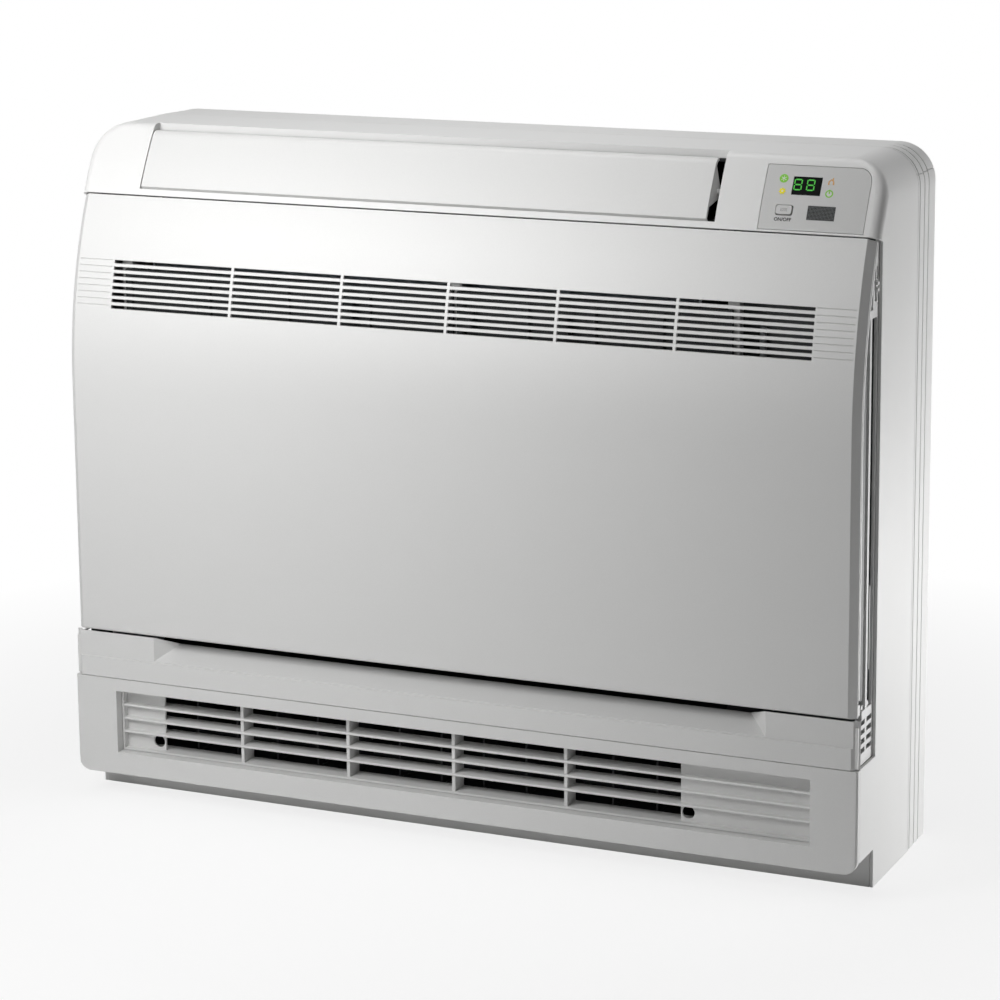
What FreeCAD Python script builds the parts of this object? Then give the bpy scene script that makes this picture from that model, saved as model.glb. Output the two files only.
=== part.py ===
import FreeCAD
import Part
import math
import os

V = FreeCAD.Vector
X_AXIS = V(1, 0, 0)
Y_AXIS = V(0, 1, 0)
Z_AXIS = V(0, 0, 1)

# Overall size of the unit: the front faces -Y and the base stands on Z = 0
width = 730.0
height = 600.0
depth = 190.0
wall = 2.5
seam = 0.6

# Front profile: upright below, an arc that leans back to the top above
curve_radius = 390.0
curve_drop = 219.0
top_corner = 32.0
edge_round = 9.0
edge_bevel = 6.2

# Heights of the front pieces, counted from the floor or down from the top
plinth_height = 33.0
plinth_setback = 43.5
fascia_top = 112.2
fascia_depth = 7.0
fascia_low = 24.0
fascia_corner = 12.0
fascia_bevel = 1.5
strip_top = 153.5
panel_bottom = 155.3
panel_drop = 58.5
insert_depth = 45.0

# Front panel, its hinge at the lower edge and its intake slots
panel_inset = 3.0
panel_rim = 7.5
panel_cheek = 12.0
panel_top_gap = 0.6
panel_foot_round = 3.0
panel_foot = 4.0
hinge_depth = 9.0
hinge_rise = 5.7
hinge_pin_radius = 2.5
hinge_pin_length = 10.5
hinge_ear_radius = 4.5
hinge_ear_width = 5.0
running_clearance = 0.05
slot_rows = 8
slot_height = 3.0
slot_pitch = 5.5
slot_top_drop = 113.0
slot_end_margin = 45.0
slot_bar_shares = (-0.636, -0.309, 0.0, 0.309, 0.636)
slot_bar_width = 2.6
rib_depth = 0.5
rib_end_margin = 2.0

# Finger recess in the strip below the panel
recess_end_margin = 78.0
recess_end_slant = 20.0
recess_crease = 131.0
recess_depth = 18.0
recess_top = 146.0
strip_step = 1.5

# Side inserts, their vents and the sliding stoppers
insert_gap = 1.0
insert_side_gap = 0.4
baffle_gap = 2.6
baffle_thickness = 1.5
baffle_front = 15.0
baffle_back = 49.0
baffle_top_drop = 120.0
vent_rows = 4
vent_pitch = 7.8
vent_low = 124.8
vent_size_z = 4.0
insert_columns = ((11.0, 25.0), (29.5, 42.0))
insert_border = 2.5
window_low = 158.0
window_top_drop = 122.0
upper_window_low_drop = 115.0
upper_window_top_drop = 91.0
upper_window_back = 31.0
short_slot_low_drop = 91.5
short_slot_top_drop = 81.0
short_slot_depths = (36.0, 40.5)
short_slot_width = 2.6
stopper_drop = 109.0
stopper_height = 8.0
stopper_width = 4.2
stopper_depth = 37.5
stopper_travel = 8.0
slide_clearance = 0.3

# Upper outlet: flap, recess and pivots
flap_drop = 51.0
flap_left_margin = 59.5
flap_right_margin = 146.8
flap_thickness = 2.6
flap_sunk = 0.4
flap_lip = 9.0
flap_flange = 13.0
flap_end_gap = 0.8
flap_low_gap = 1.9
cheek_gap = 7.8
cheek_wall = 2.5
recess_back = 76.0
outer_lip = 1.5
pivot_depth = 16.0
pivot_drop = 25.0
pivot_radius = 2.5
arm_boss_radius = 5.0
arm_width = 2.5
flap_motor_radius = 12.0
flap_motor_length = 19.0

# Display plate at the right of the upper front
display_width = 88.2
display_right_margin = 13.7
display_low_gap = 1.9
display_top_drop = 7.6
display_corner = 11.0
display_gap = 0.4
display_lip = 3.0
window_margin = 54.5
window_width = 24.0
window_drop = 15.7
window_height = 13.6
receiver_margin = 39.4
receiver_width = 23.1
receiver_drop = 36.9
receiver_height = 10.6
indicator_outer_margin = 46.9
indicator_inner_margin = 86.4
indicator_upper_drop = 17.8
indicator_lower_drop = 27.2
indicator_radius = 2.6
digit_height = 8.5
digit_width = 6.8
digit_stroke = 0.9
digit_gap = 3.8
digit_shift = 2.35
digit_rise = 0.85
button_margin = 82.1
button_drop = 41.1
button_width = 13.4
button_height = 7.6
button_gap = 0.7
button_round = 2.0
button_proud = 1.0
button_travel = 1.2
board_depth = 10.0
board_thickness = 1.6

# Rear trim and back plate
trim_depth = 51.0
trim_steps = (7.0, 14.0, 13.0)
trim_inset = 0.4
trim_groove = 3.2
trim_groove_depth = 1.0
trim_wall = 6.0
trim_split_drop = 22.0
back_plate_inset = 1.5
back_plate_thickness = 1.5
bolt_side_margin = 27.0
bolt_top_drop = 120.0
bolt_low = 180.0
bolt_hole_radius = 4.0

# Lower outlet grille and vanes
grille_end_margin = 40.5
grille_low = 44.0
grille_high = 101.0
grille_gap = 0.4
grille_setback = 9.0
grille_depth = 20.0
grille_rim = 2.0
grille_blades = 3
blade_height = 2.2
blade_pitch = 12.2
blade_shift = 1.1
grille_rib_shares = (-0.628, -0.308, 0.002, 0.323)
grille_rib_width = 3.0
blank_setback = 6.0
blank_thickness = 2.0
blank_left_width = 40.6
blank_right_width = 117.1
blank_hole_radius = 5.5
blank_hole_edge = 6.7
blank_hole_rise = 10.0
vane_count_low = 12
vane_low_margin = 48.0
vane_low_thickness = 1.6
vane_low_height = 50.0
vane_low_depth = 28.0

# Air path: ducts, bell mouth, fan and motor
duct_left_margin = 55.0
duct_right_margin = 139.0
duct_wall = 2.5
duct_back_gap = 11.0
duct_floor = 42.5
duct_top_gap = 1.0
duct_chamfer = 26.0
partition_depth = 86.0
partition_low = 146.0
partition_top_drop = 103.0
lower_lip_drop = 38.0
upper_lip_rise = 38.0
upper_lip_reach = 37.0
fan_side_gap = 25.5
fan_rim = 29.0
fan_blades = 9
fan_width_share = 0.66
fan_plate = 2.0
fan_gap = 17.0
wheel_gap = 1.5
bell_lip_width = 12.0
hub_radius = 16.0
hub_share = 0.52
shaft_radius = 4.0
motor_radius = 52.0
motor_flange_radius = 62.0
motor_screw_circle = 57.0
screw_radius = 2.0
screw_head_radius = 3.5
screw_head = 2.2

# Left-right vanes of the upper outlet
vane_count = 6
vane_axis_drop = 66.0
vane_chord = 44.0
vane_thickness = 2.0
vane_pin_radius = 2.0
vane_bar_size = 10.0
vane_bar_depth = 6.0
vane_end_gap = 0.6
link_arm = 14.0
link_pin_radius = 1.5
link_play = 0.25
link_height = 9.0
link_depth = 4.0
vane_swing = 25.0

# Lower damper
damper_axis_depth = 73.0
damper_rise = 7.5
damper_back_gap = 40.0
damper_thickness = 2.5
damper_barrel = 4.0
damper_pin_radius = 2.5
damper_end_gap = 1.5
damper_motor_radius = 12.0
damper_motor_length = 19.0

# Heat exchanger, drain and pipes
coil_left_margin = 69.0
coil_right_margin = 153.0
coil_low = 178.0
coil_rows = 12
coil_top_gap = 14.2
coil_front_depth = 45.0
coil_thickness = 34.0
coil_column_gap = 18.0
tube_radius = 3.5
fin_groove = 1.2
fin_groove_pitch = 6.0
end_plate = 1.5
end_plate_margin = 3.0
pan_low = 150.0
pan_height = 22.0
pan_wall = 2.5
pan_end_margin = 8.0
drain_radius = 9.0
drain_bore = 7.0
liquid_radius = 3.175
gas_radius = 4.76
liquid_union_radius = 5.55
gas_union_radius = 7.94
union_length = 22.0
pipe_end_inset = 7.0
pipe_bend = 24.0
liquid_turn = 84.0
gas_turn = 48.0
drain_turn = 36.0

# Air filters
filter_left_margin = 49.0
filter_right_margin = 119.0
filter_split = 4.0
filter_depth = 25.0
filter_thickness = 4.0
filter_rail = 6.0
filter_mesh = 0.8
filter_cells_x = 4
filter_cells_z = 5
filter_top_drop = 122.0
filter_tab_width = 12.0
filter_tab_height = 16.0
filter_tab_reach = 6.0
ledge_height = 6.0
rail_depth = 49.5
guide_width = 10.0

# Electric box on the right
box_left_margin = 125.0
box_right_margin = 13.0
box_low = 262.0
box_top_drop = 104.0
box_front_depth = 55.0
box_depth = 98.0
box_wall = 2.0
board_post = 10.0
board_margin = 8.0
switch_travel = 3.0
switch_width = 8.0
switch_height = 5.0
sensor_radius = 3.0
sensor_length = 30.0

# Values worked out from the sizes above
half = width / 2
front = -depth / 2
back = depth / 2
curve_start = height - curve_drop
panel_top = height - panel_drop
flap_low = height - flap_drop
insert_back = front + insert_depth
trim_start = back - trim_depth
duct_left = -half + duct_left_margin
duct_right = half - duct_right_margin
duct_back = back - duct_back_gap
duct_top = height - trim_wall - duct_wall - duct_top_gap
partition = front + partition_depth
partition_top = height - partition_top_drop
fan_x = (duct_left + duct_right) / 2
slot_half_span = half - slot_end_margin
slot_bars = [share * slot_half_span for share in slot_bar_shares]
recess_half = half - recess_end_margin
flap_left = -half + flap_left_margin
flap_right = half - flap_right_margin
display_left = half - display_right_margin - display_width
button_x = half - button_margin
grille_half = half - grille_end_margin
grille_ribs = [share * grille_half for share in grille_rib_shares]
filter_left_end = -half + filter_left_margin
filter_right_end = half - filter_right_margin
bolt_spacing_x = width - 2 * bolt_side_margin
bolt_spacing_z = height - bolt_top_drop - bolt_low
hinge_y = front + hinge_depth
hinge_z = panel_bottom + hinge_rise
cheek_left = flap_left - flap_end_gap
cheek_right = flap_right + cheek_gap
outlet_back = front + recess_back
duct_mouth = front + grille_setback + grille_depth + wall
panel_half = half - panel_inset
vane_axis_z = height - vane_axis_drop
shell_inside = half - wall
insert_face = shell_inside - insert_side_gap
insert_inner = insert_face - wall
coil_left = -half + coil_left_margin
coil_right = half - coil_right_margin
coil_front = front + coil_front_depth
coil_back = coil_front + coil_thickness
coil_top = partition_top - coil_top_gap
coil_pitch = (coil_top - coil_low) / coil_rows
plate_left = coil_left - end_plate
plate_right = coil_right + end_plate
fan_axis_height = (partition_low + partition_top) / 2
fan_radius = min(partition_top - partition_low, duct_right - duct_left) / 2 - fan_side_gap
fan_eye_radius = fan_radius - fan_rim
fan_front = partition + fan_gap
fan_and_motor = duct_back - duct_wall - wall - wheel_gap - fan_front
fan_width = fan_and_motor * fan_width_share
motor_length = fan_and_motor - fan_width
motor_front = duct_back - duct_wall - motor_length
hub_length = fan_width * hub_share
vane_pitch = (duct_right - duct_left) / vane_count
damper_length = duct_back - damper_back_gap - front - damper_axis_depth
vane_pitch_low = (duct_right - duct_left - 2 * vane_low_margin) / (vane_count_low - 1)


def box(x0, x1, y0, y1, z0, z1):
    return Part.makeBox(x1 - x0, y1 - y0, z1 - z0, V(x0, y0, z0))


def rod(radius, start, along, length):
    return Part.makeCylinder(radius, length, start, along)


def tube(outer, inner, start, along, length):
    return rod(outer, start, along, length).cut(rod(inner, start, along, length))


def fuse(shapes):
    return shapes[0].multiFuse(shapes[1:]).removeSplitter()


def prism(points, x0, x1):
    corners = [V(x0, y, z) for y, z in points]
    face = Part.Face(Part.makePolygon(corners + corners[:1]))
    return face.extrude(V(x1 - x0, 0, 0))


def plan_block(points, z0, z1):
    corners = [V(x, y, z0) for x, y in points]
    face = Part.Face(Part.makePolygon(corners + corners[:1]))
    return face.extrude(V(0, 0, z1 - z0))


def mirrored(shape):
    return shape.mirror(V(0, 0, 0), X_AXIS)


# Front profile
def lean(z):
    return math.asin(max(0.0, z - curve_start) / curve_radius)


def turned(depth_in, angle):
    reach = curve_radius - depth_in
    return front + curve_radius - reach * math.cos(angle), curve_start + reach * math.sin(angle)


def at(depth_in, z):
    if z <= curve_start:
        return front + depth_in, z
    return turned(depth_in, lean(z))


def profile_edges(depth_in, low, high, x):
    edges = []
    if low < curve_start:
        top = min(high, curve_start)
        edges.append(Part.makeLine(V(x, *at(depth_in, low)), V(x, *at(depth_in, top))))
    if high > curve_start:
        first = lean(low)
        last = lean(high)
        marks = [V(x, *turned(depth_in, first + (last - first) * part)) for part in (0.0, 0.5, 1.0)]
        edges.append(Part.Arc(*marks).toShape())
    return edges


def band(near, far, low, high, x0, x1):
    """Solid between two depths behind the front surface, over a range of heights on it."""
    edges = profile_edges(near, low, high, x0) + profile_edges(far, low, high, x0)
    edges.append(Part.makeLine(V(x0, *at(near, low)), V(x0, *at(far, low))))
    edges.append(Part.makeLine(V(x0, *at(near, high)), V(x0, *at(far, high))))
    wire = Part.Wire(Part.__sortEdges__(edges))
    return Part.Face(wire).extrude(V(x1 - x0, 0, 0))


def front_depth(point):
    if point.z <= curve_start:
        return point.y - front
    return curve_radius - math.hypot(point.y - front - curve_radius, point.z - curve_start)


def bevelled(near, far, low, high, half_width, bevel):
    """Band whose two long front edges are bevelled."""
    solid = band(near, far, low, high, -half_width, half_width)
    edges = []
    for edge in solid.Edges:
        middle = edge.valueAt((edge.FirstParameter + edge.LastParameter) / 2)
        at_side = abs(abs(middle.x) - half_width) < 0.01
        if at_side and abs(front_depth(middle) - near) < 0.01:
            edges.append(edge)
    return solid.makeChamfer(bevel, edges)


def tray(near, far, low, high, half_width, low_wall, high_wall, bevel=edge_bevel):
    """Hollow bevelled front piece, open to the back."""
    inner_bevel = max(bevel - wall * (2 - math.sqrt(2)), seam / 2)
    outer = bevelled(near, far, low, high, half_width, bevel)
    inner = bevelled(near + wall, far + wall, low + low_wall, high - high_wall, half_width - wall,
                     inner_bevel)
    return outer.cut(inner)


def envelope(inset, low, front_round):
    """Whole cabinet volume, set in on all sides, with rounded top corners and front edges."""
    reach = curve_radius - inset
    top = height - inset
    end = math.asin((top + wall - curve_start) / reach)
    marks = [V(-half + inset, *turned(inset, end * part)) for part in (0.0, 0.5, 1.0)]
    foot = V(-half + inset, front + inset, low)
    rear_top = V(-half + inset, back, top + wall)
    rear_foot = V(-half + inset, back, low)
    edges = [Part.makeLine(foot, marks[0]), Part.Arc(*marks).toShape()]
    edges += [Part.makeLine(marks[2], rear_top), Part.makeLine(rear_top, rear_foot),
              Part.makeLine(rear_foot, foot)]
    body = Part.Face(Part.Wire(edges)).extrude(V(width - 2 * inset, 0, 0))
    block = box(-half + inset, half - inset, front - wall, back, low, top)
    corners = [e for e in block.Edges if abs(e.tangentAt(e.FirstParameter).y) > 0.9
               and e.CenterOfMass.z > top - 1]
    body = body.common(block.makeFillet(top_corner - inset, corners))
    if not front_round:
        return body
    rim = []
    for edge in body.Edges:
        middle = edge.valueAt((edge.FirstParameter + edge.LastParameter) / 2)
        on_front = abs(front_depth(middle) - inset) < 0.01
        level = edge.BoundBox.ZLength < 0.01 and middle.z < top - 1
        if on_front and not level:
            rim.append(edge)
    return body.makeFillet(front_round, rim)


outer_volume = envelope(0.0, 0.0, edge_round)
inner_volume = envelope(wall, -wall, edge_round - wall)
parts = {}


# Casing
def make_cabinet_shell():
    seam_low = panel_top + seam
    side_front = front + fascia_depth
    seam_angle = lean(seam_low)
    seam_out = turned(-wall, seam_angle)
    slope = -math.tan(seam_angle)
    seam_back = seam_out[1] + (insert_back - seam_out[0]) * slope
    keep = prism([(front + plinth_setback, 0), (front + plinth_setback, plinth_height),
                  (side_front, plinth_height), (side_front, fascia_top + seam / 2),
                  (insert_back, fascia_top + seam / 2), (insert_back, seam_back), seam_out,
                  (front - wall, height + wall), (trim_start, height + wall), (trim_start, 0)], -half,
                  half)
    shell = outer_volume.cut(inner_volume).common(keep)
    outlet_low = flap_low - flap_low_gap
    corner = at(pivot_depth, outlet_low)
    outlet = prism([at(-wall, outlet_low), corner, (outlet_back, corner[1]), (outlet_back,
                                                                              height + wall),
                    (front - wall, height + wall)], cheek_left, cheek_right)
    cheek_shape = prism([at(wall / 2, outlet_low - wall), at(pivot_depth * 2, outlet_low - wall),
                         (outlet_back, at(pivot_depth * 2, outlet_low)[1]), (outlet_back,
                                                                             height - wall / 2),
                         (front - wall, height - wall / 2)], -half, half)
    cheek_space = cheek_shape.common(envelope(wall / 2, 0.0, edge_round - wall / 2))
    cheeks = [cheek_space.common(box(cheek_left - cheek_wall, cheek_left, front, back, 0, height)),
              cheek_space.common(box(cheek_right, cheek_right + cheek_wall, front, back, 0, height))]
    shell = shell.cut(outlet)
    lip = box(cheek_left - cheek_wall, cheek_right + cheek_wall, outlet_back - wall / 2,
              outlet_back + outer_lip, duct_top + duct_wall + insert_side_gap, height - wall / 2)
    lip = lip.cut(box(cheek_left, cheek_right, front, outlet_back, 0, height))
    shell = fuse([shell, lip] + cheeks)
    pivot = turned(pivot_depth, lean(height - pivot_drop))
    pin_hole = rod(pivot_radius + running_clearance, V(-half, *pivot), X_AXIS,
                   width / 2 - duct_left_margin / 2)
    left_hole = pin_hole.common(box(-half + wall, flap_left, front, back, 0, height))
    right_hole = rod(pivot_radius + running_clearance, V(flap_right, *pivot), X_AXIS,
                     cheek_gap + cheek_wall * 2)
    reach = panel_half + seam
    panel_space = band(-wall, panel_rim + insert_gap, panel_bottom, seam_low, -reach, reach)
    return shell.cut([left_hole, right_hole, panel_space,
                      display_outline(display_gap).common(band_to_skin())])


def band_to_skin():
    return band(-wall, wall * 2, panel_top - wall, height + wall, display_left - wall, half)


def display_outline(grow):
    low = panel_top + seam + display_low_gap - grow
    top = height - display_top_drop + grow
    left = display_left - grow
    right = half - display_right_margin + grow
    block = box(left, right, front - wall, back, low - wall * 2, top)
    corner = [e for e in block.Edges if abs(e.tangentAt(e.FirstParameter).y) > 0.9
              and e.CenterOfMass.x > right - 1 and e.CenterOfMass.z > top - 1]
    block = block.makeFillet(display_corner, corner)
    return block.common(band(-wall * 2, pivot_depth, low, height, left - 1, right + 1))


def make_rear_trims():
    ring = []
    start = trim_start + seam
    stops = [trim_start + sum(trim_steps[:count + 1]) for count in range(len(trim_steps))] + [back]
    for count, stop in enumerate(stops):
        if count < len(trim_steps):
            groove = box(-half, half, stop - trim_groove, stop, 0, height)
            ring.append(envelope(trim_inset * (count + 1) + trim_groove_depth, 0.0, 0.0).common(groove))
            slab = box(-half, half, start, stop - trim_groove, 0, height)
        else:
            slab = box(-half, half, start, stop, 0, height)
        ring.append(envelope(trim_inset * count, 0.0, 0.0).common(slab))
        start = stop
    trim = fuse(ring).cut(envelope(trim_wall, -wall, 0.0))
    split = height - trim_split_drop
    top = trim.common(box(-half, half, 0, back, split + seam / 2, height))
    left = trim.common(box(-half, 0, 0, back, 0, split - seam / 2))
    return top, left, mirrored(left)


def bolt_points():
    return [V(side * bolt_spacing_x / 2, 0, bolt_low + row * bolt_spacing_z) for side in (-1, 1)
            for row in (0, 1)]


def make_back_plate():
    outer = back - back_plate_inset
    inner = outer - back_plate_thickness
    plate = envelope(trim_wall + insert_side_gap, wall, 0.0).common(box(-half, half, inner, outer,
                                                                        wall, height))
    window = box(pipe_x(gas_turn) - pipe_bend, pipe_x(liquid_turn) + pipe_bend, inner - 1, back,
                 drain_z() - drain_radius * 2, coil_low + coil_pitch * 1.5)
    holes = [rod(bolt_hole_radius, V(p.x, inner - 1, p.z), Y_AXIS, back) for p in bolt_points()]
    return plate.cut([window] + holes)


def make_base_tray():
    side = shell_inside - insert_side_gap
    rear = back - back_plate_inset - back_plate_thickness - insert_side_gap
    narrow = half - trim_wall - insert_side_gap
    near = front + plinth_setback
    outer = fuse([box(-side, side, near, trim_start - seam, 0, plinth_height),
                  box(-narrow, narrow, near, rear, 0, plinth_height)])
    inner = box(-narrow + wall, narrow - wall, near + wall, rear - wall, wall, plinth_height + 1)
    shape = [outer.cut(inner)]
    for x in (duct_left + fan_radius / 2, fan_x, duct_right - fan_radius / 2):
        shape.append(box(x - wall, x + wall, front + plinth_setback + wall, duct_back - duct_chamfer,
                         wall / 2, duct_floor - duct_wall))
    return fuse(shape)


def make_lower_fascia():
    body = tray(0.0, fascia_depth - seam, fascia_low, fascia_top, half, wall, wall, fascia_bevel)
    blank = box(-half, half, front - 1, back, fascia_low, fascia_top + wall)
    low_corners = [e for e in blank.Edges if abs(e.tangentAt(e.FirstParameter).y) > 0.9
                   and e.CenterOfMass.z < fascia_low + 1]
    body = body.common(blank.makeFillet(fascia_corner, low_corners))
    rear = front + plinth_setback - seam
    reach = half - fascia_corner - wall
    sole = box(-reach, reach, front + fascia_depth / 2, rear, fascia_low, fascia_low + wall)
    collar_outer = box(-grille_half - wall, grille_half + wall, front + wall / 2,
                       front + grille_setback + grille_depth,
                       grille_low - wall, grille_high + wall)
    opening = box(-grille_half, grille_half, front - 1, back, grille_low, grille_high)
    return fuse([body, sole, collar_outer]).cut(opening)


def make_lower_grille():
    side = grille_half - grille_gap
    low = grille_low + grille_gap
    high = grille_high - grille_gap
    near = front + grille_setback
    far = near + grille_depth
    frame = box(-side, side, near, far, low, high).cut(
        box(-side + grille_rim, side - grille_rim, near - 1, far + 1, low + grille_rim,
            high - grille_rim))
    pieces = [frame]
    middle = (low + high) / 2 + blade_shift
    for row in range(grille_blades):
        centre = middle + (row - (grille_blades - 1) / 2) * blade_pitch
        blade = box(-side + grille_rim / 2, side - grille_rim / 2, near, far - grille_rim,
                    centre - blade_height / 2, centre + blade_height / 2)
        nose = [e for e in blade.Edges if e.Length > side and e.CenterOfMass.y < near + 0.01]
        pieces.append(blade.makeFillet(blade_height * 0.4, nose))
    for x in grille_ribs:
        pieces.append(box(x - grille_rib_width / 2, x + grille_rib_width / 2, near + grille_rim, far,
                          low + grille_rim / 2, high - grille_rim / 2))
    blank_y = near + blank_setback
    for x0, x1, hole_x in ((-side, -side + blank_left_width, -side + blank_left_width - blank_hole_edge),
                           (side - blank_right_width, side, side - blank_right_width + blank_hole_edge)):
        plate = box(x0, x1, blank_y, blank_y + blank_thickness, low + grille_rim / 2,
                    high - grille_rim / 2)
        hole = rod(blank_hole_radius, V(hole_x, front, grille_low + blank_hole_rise), Y_AXIS, depth)
        pieces.append(plate.cut(hole))
    return fuse(pieces)


# Front frame behind the panel
def filter_top():
    return height - filter_top_drop


def guide_back():
    return front + filter_depth + filter_thickness + slide_clearance


def make_front_frame():
    strip_low = fascia_top + seam
    crease = recess_crease
    strip = tray(0.0, fascia_depth - seam, strip_low, strip_top, half, wall, -wall)
    backing_side = half - edge_bevel - wall
    backing = band(wall / 2, wall + strip_step, crease - wall, strip_top - wall, -backing_side,
                   backing_side)
    step_cut = band(-1, strip_step, crease, strip_top + wall, -half - 1, half + 1)
    strip = fuse([strip, backing]).cut(step_cut)
    floor_back = front + recess_depth
    reach = recess_half - recess_end_slant
    plan = [(-recess_half - recess_end_slant / recess_depth, front - 1), (-reach, floor_back),
            (reach, floor_back), (recess_half + recess_end_slant / recess_depth, front - 1)]
    scoop = prism([(front - 1, crease), (front, crease), (floor_back, recess_top),
                   (floor_back, strip_top + wall), (front - 1, strip_top + wall)],
                  -half, half).common(plan_block(plan, 0, height))
    plan_out = [(-recess_half - wall, front + wall), (-reach - wall, floor_back),
                (reach + wall, floor_back), (recess_half + wall, front + wall)]
    tub = prism([(front + wall, crease - wall), (floor_back, recess_top - wall), (floor_back, recess_top),
                 (front + wall, strip_top)], -half, half).common(plan_block(plan_out, 0, height))
    ledge_low = panel_bottom + seam
    ledge_top = ledge_low + ledge_height
    ledge_front = floor_back - wall / 2 + insert_gap * 2
    ledge_back = pan_front() - insert_gap
    back_face = guide_back()
    shelf_low = filter_top() + stopper_travel + filter_rail + wall
    rail_back = front + rail_depth
    pieces = [fuse([strip, tub]).cut(scoop)]
    pieces.append(box(-insert_inner - 1, insert_inner + 1, ledge_front, ledge_back, ledge_low,
                      ledge_top))
    shelf = box(-insert_inner - 1, insert_inner + 1, back_face + panel_cheek / 3, rail_back, shelf_low,
                shelf_low + wall)
    rail = box(-insert_inner - 1, insert_inner + 1, rail_back - wall, rail_back, shelf_low,
               shelf_low + panel_cheek * 2)
    low, high = stopper_span()
    y = front + stopper_depth
    reach = stopper_width / 2 + wall
    notch = box(insert_inner - wall * 2, half, y - reach, y + reach, low - wall,
                high + stopper_travel + wall)
    pieces.append(fuse([shelf, rail]).cut([notch, mirrored(notch)]))
    for x in (filter_left_end, 0.0, filter_right_end):
        pieces.append(box(x - guide_width / 2, x + guide_width / 2, back_face, ledge_back, ledge_low,
                          shelf_low + wall))
    right = box(insert_inner, insert_face, front + fascia_depth, insert_back + fascia_depth, strip_low,
                panel_top)
    right = right.cut(band(-insert_depth, panel_rim + insert_gap, strip_top, height, insert_inner - 1,
                           half))
    swing = panel_cheek + insert_gap * 4.5
    right = right.cut(box(insert_inner - 1, half, front - 1, front + swing, strip_top - wall,
                          hinge_z + swing / 2))
    right = right.cut(insert_cuts())
    join = box(insert_inner, half - wall / 2, front + wall, front + fascia_depth + wall,
               strip_low + wall / 2,
               strip_top - wall * 2)
    join = join.cut(box(insert_face, half, front + fascia_depth - seam, back, 0, height))
    link_web = box(insert_inner - 1, insert_inner + 1, ledge_front, ledge_back, strip_low, ledge_top)
    link_web = link_web.cut(insert_cuts())
    pieces += [right, mirrored(right), join, mirrored(join), link_web, mirrored(link_web)]
    ear_x = panel_half - wall - hinge_ear_width * 0.9 - hinge_ear_width
    ear = fuse([rod(hinge_ear_radius, V(ear_x, hinge_y, hinge_z), X_AXIS, hinge_ear_width),
                box(ear_x, ear_x + hinge_ear_width, hinge_y, ledge_front + wall,
                    hinge_z - hinge_ear_radius * 0.8,
                    hinge_z + hinge_ear_radius * 0.8)])
    ear = ear.cut(rod(hinge_pin_radius + running_clearance, V(ear_x - 1, hinge_y, hinge_z), X_AXIS,
                      half))
    pieces += [ear, mirrored(ear)]
    frame = fuse(pieces)
    screws = [rod(screw_radius + running_clearance, V(x, front, casing_screw_z()), Y_AXIS, depth)
              for x in casing_screw_xs()]
    return frame.cut(screws)


def casing_screw_z():
    return filter_top() + stopper_travel + filter_rail + wall + panel_cheek * 1.2


def casing_screw_xs():
    return [side * reach * slot_half_span for side in (-1, 1) for reach in (0.3, 0.94)]


def stopper_span():
    low = height - stopper_drop
    return low, low + stopper_height


def insert_span(first, last, low, high):
    return box(insert_inner - 2, half, front + first, front + last, low, high)


def insert_cuts():
    cuts = []
    windows = []
    for first, last in insert_columns:
        for row in range(vent_rows):
            z = vent_low + row * vent_pitch
            cuts.append(insert_span(first, last, z - vent_size_z / 2, z + vent_size_z / 2))
        windows.append(insert_span(first, last, window_low, height - window_top_drop))
    windows.append(insert_span(insert_columns[0][0], upper_window_back, height - upper_window_low_drop,
                               height - upper_window_top_drop))
    for middle in short_slot_depths:
        windows.append(insert_span(middle - short_slot_width / 2, middle + short_slot_width / 2,
                                   height - short_slot_low_drop, height - short_slot_top_drop))
    border = band(-insert_depth, panel_rim + insert_gap + insert_border, strip_top, height,
                  insert_inner - 3, half + 1)
    cuts += [window.cut(border) for window in windows]
    low, high = stopper_span()
    y = front + stopper_depth
    reach = stopper_width / 2 + slide_clearance
    cuts.append(box(insert_inner - 2, half, y - reach, y + reach, low - slide_clearance,
                    high + stopper_travel + slide_clearance))
    return cuts


def make_side_baffles():
    outer = insert_inner - baffle_gap
    inner = outer - baffle_thickness
    ledge_low = panel_bottom + seam
    near = front + baffle_front
    far = front + baffle_back
    lower = box(inner, outer, near, far, fascia_top + seam + wall, ledge_low)
    upper = box(inner, outer, near, far, ledge_low + ledge_height, height - baffle_top_drop)
    upper = upper.cut(band(-insert_depth, panel_rim + insert_gap, strip_top, height, -half, half))
    return Part.makeCompound([lower, upper, mirrored(lower), mirrored(upper)])


def make_stopper():
    low, high = [level + stopper_travel for level in stopper_span()]
    y = front + stopper_depth
    reach = stopper_width / 2
    stem = box(insert_inner - 1, insert_face + 1, y - reach, y + reach, low, high)
    knob = box(insert_face + slide_clearance, half - wall / 4, y - reach, y + reach + slide_clearance,
               low, high)
    keeper = box(insert_inner - wall, insert_inner - slide_clearance, y - reach - wall / 2,
                 y + reach + wall / 2, low, high)
    grip = box(half - wall * 0.8, half, y - reach, y + reach + wall, low + stopper_height / 3,
               high - stopper_height / 3)
    return fuse([stem, knob, keeper]).cut(grip)


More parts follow.
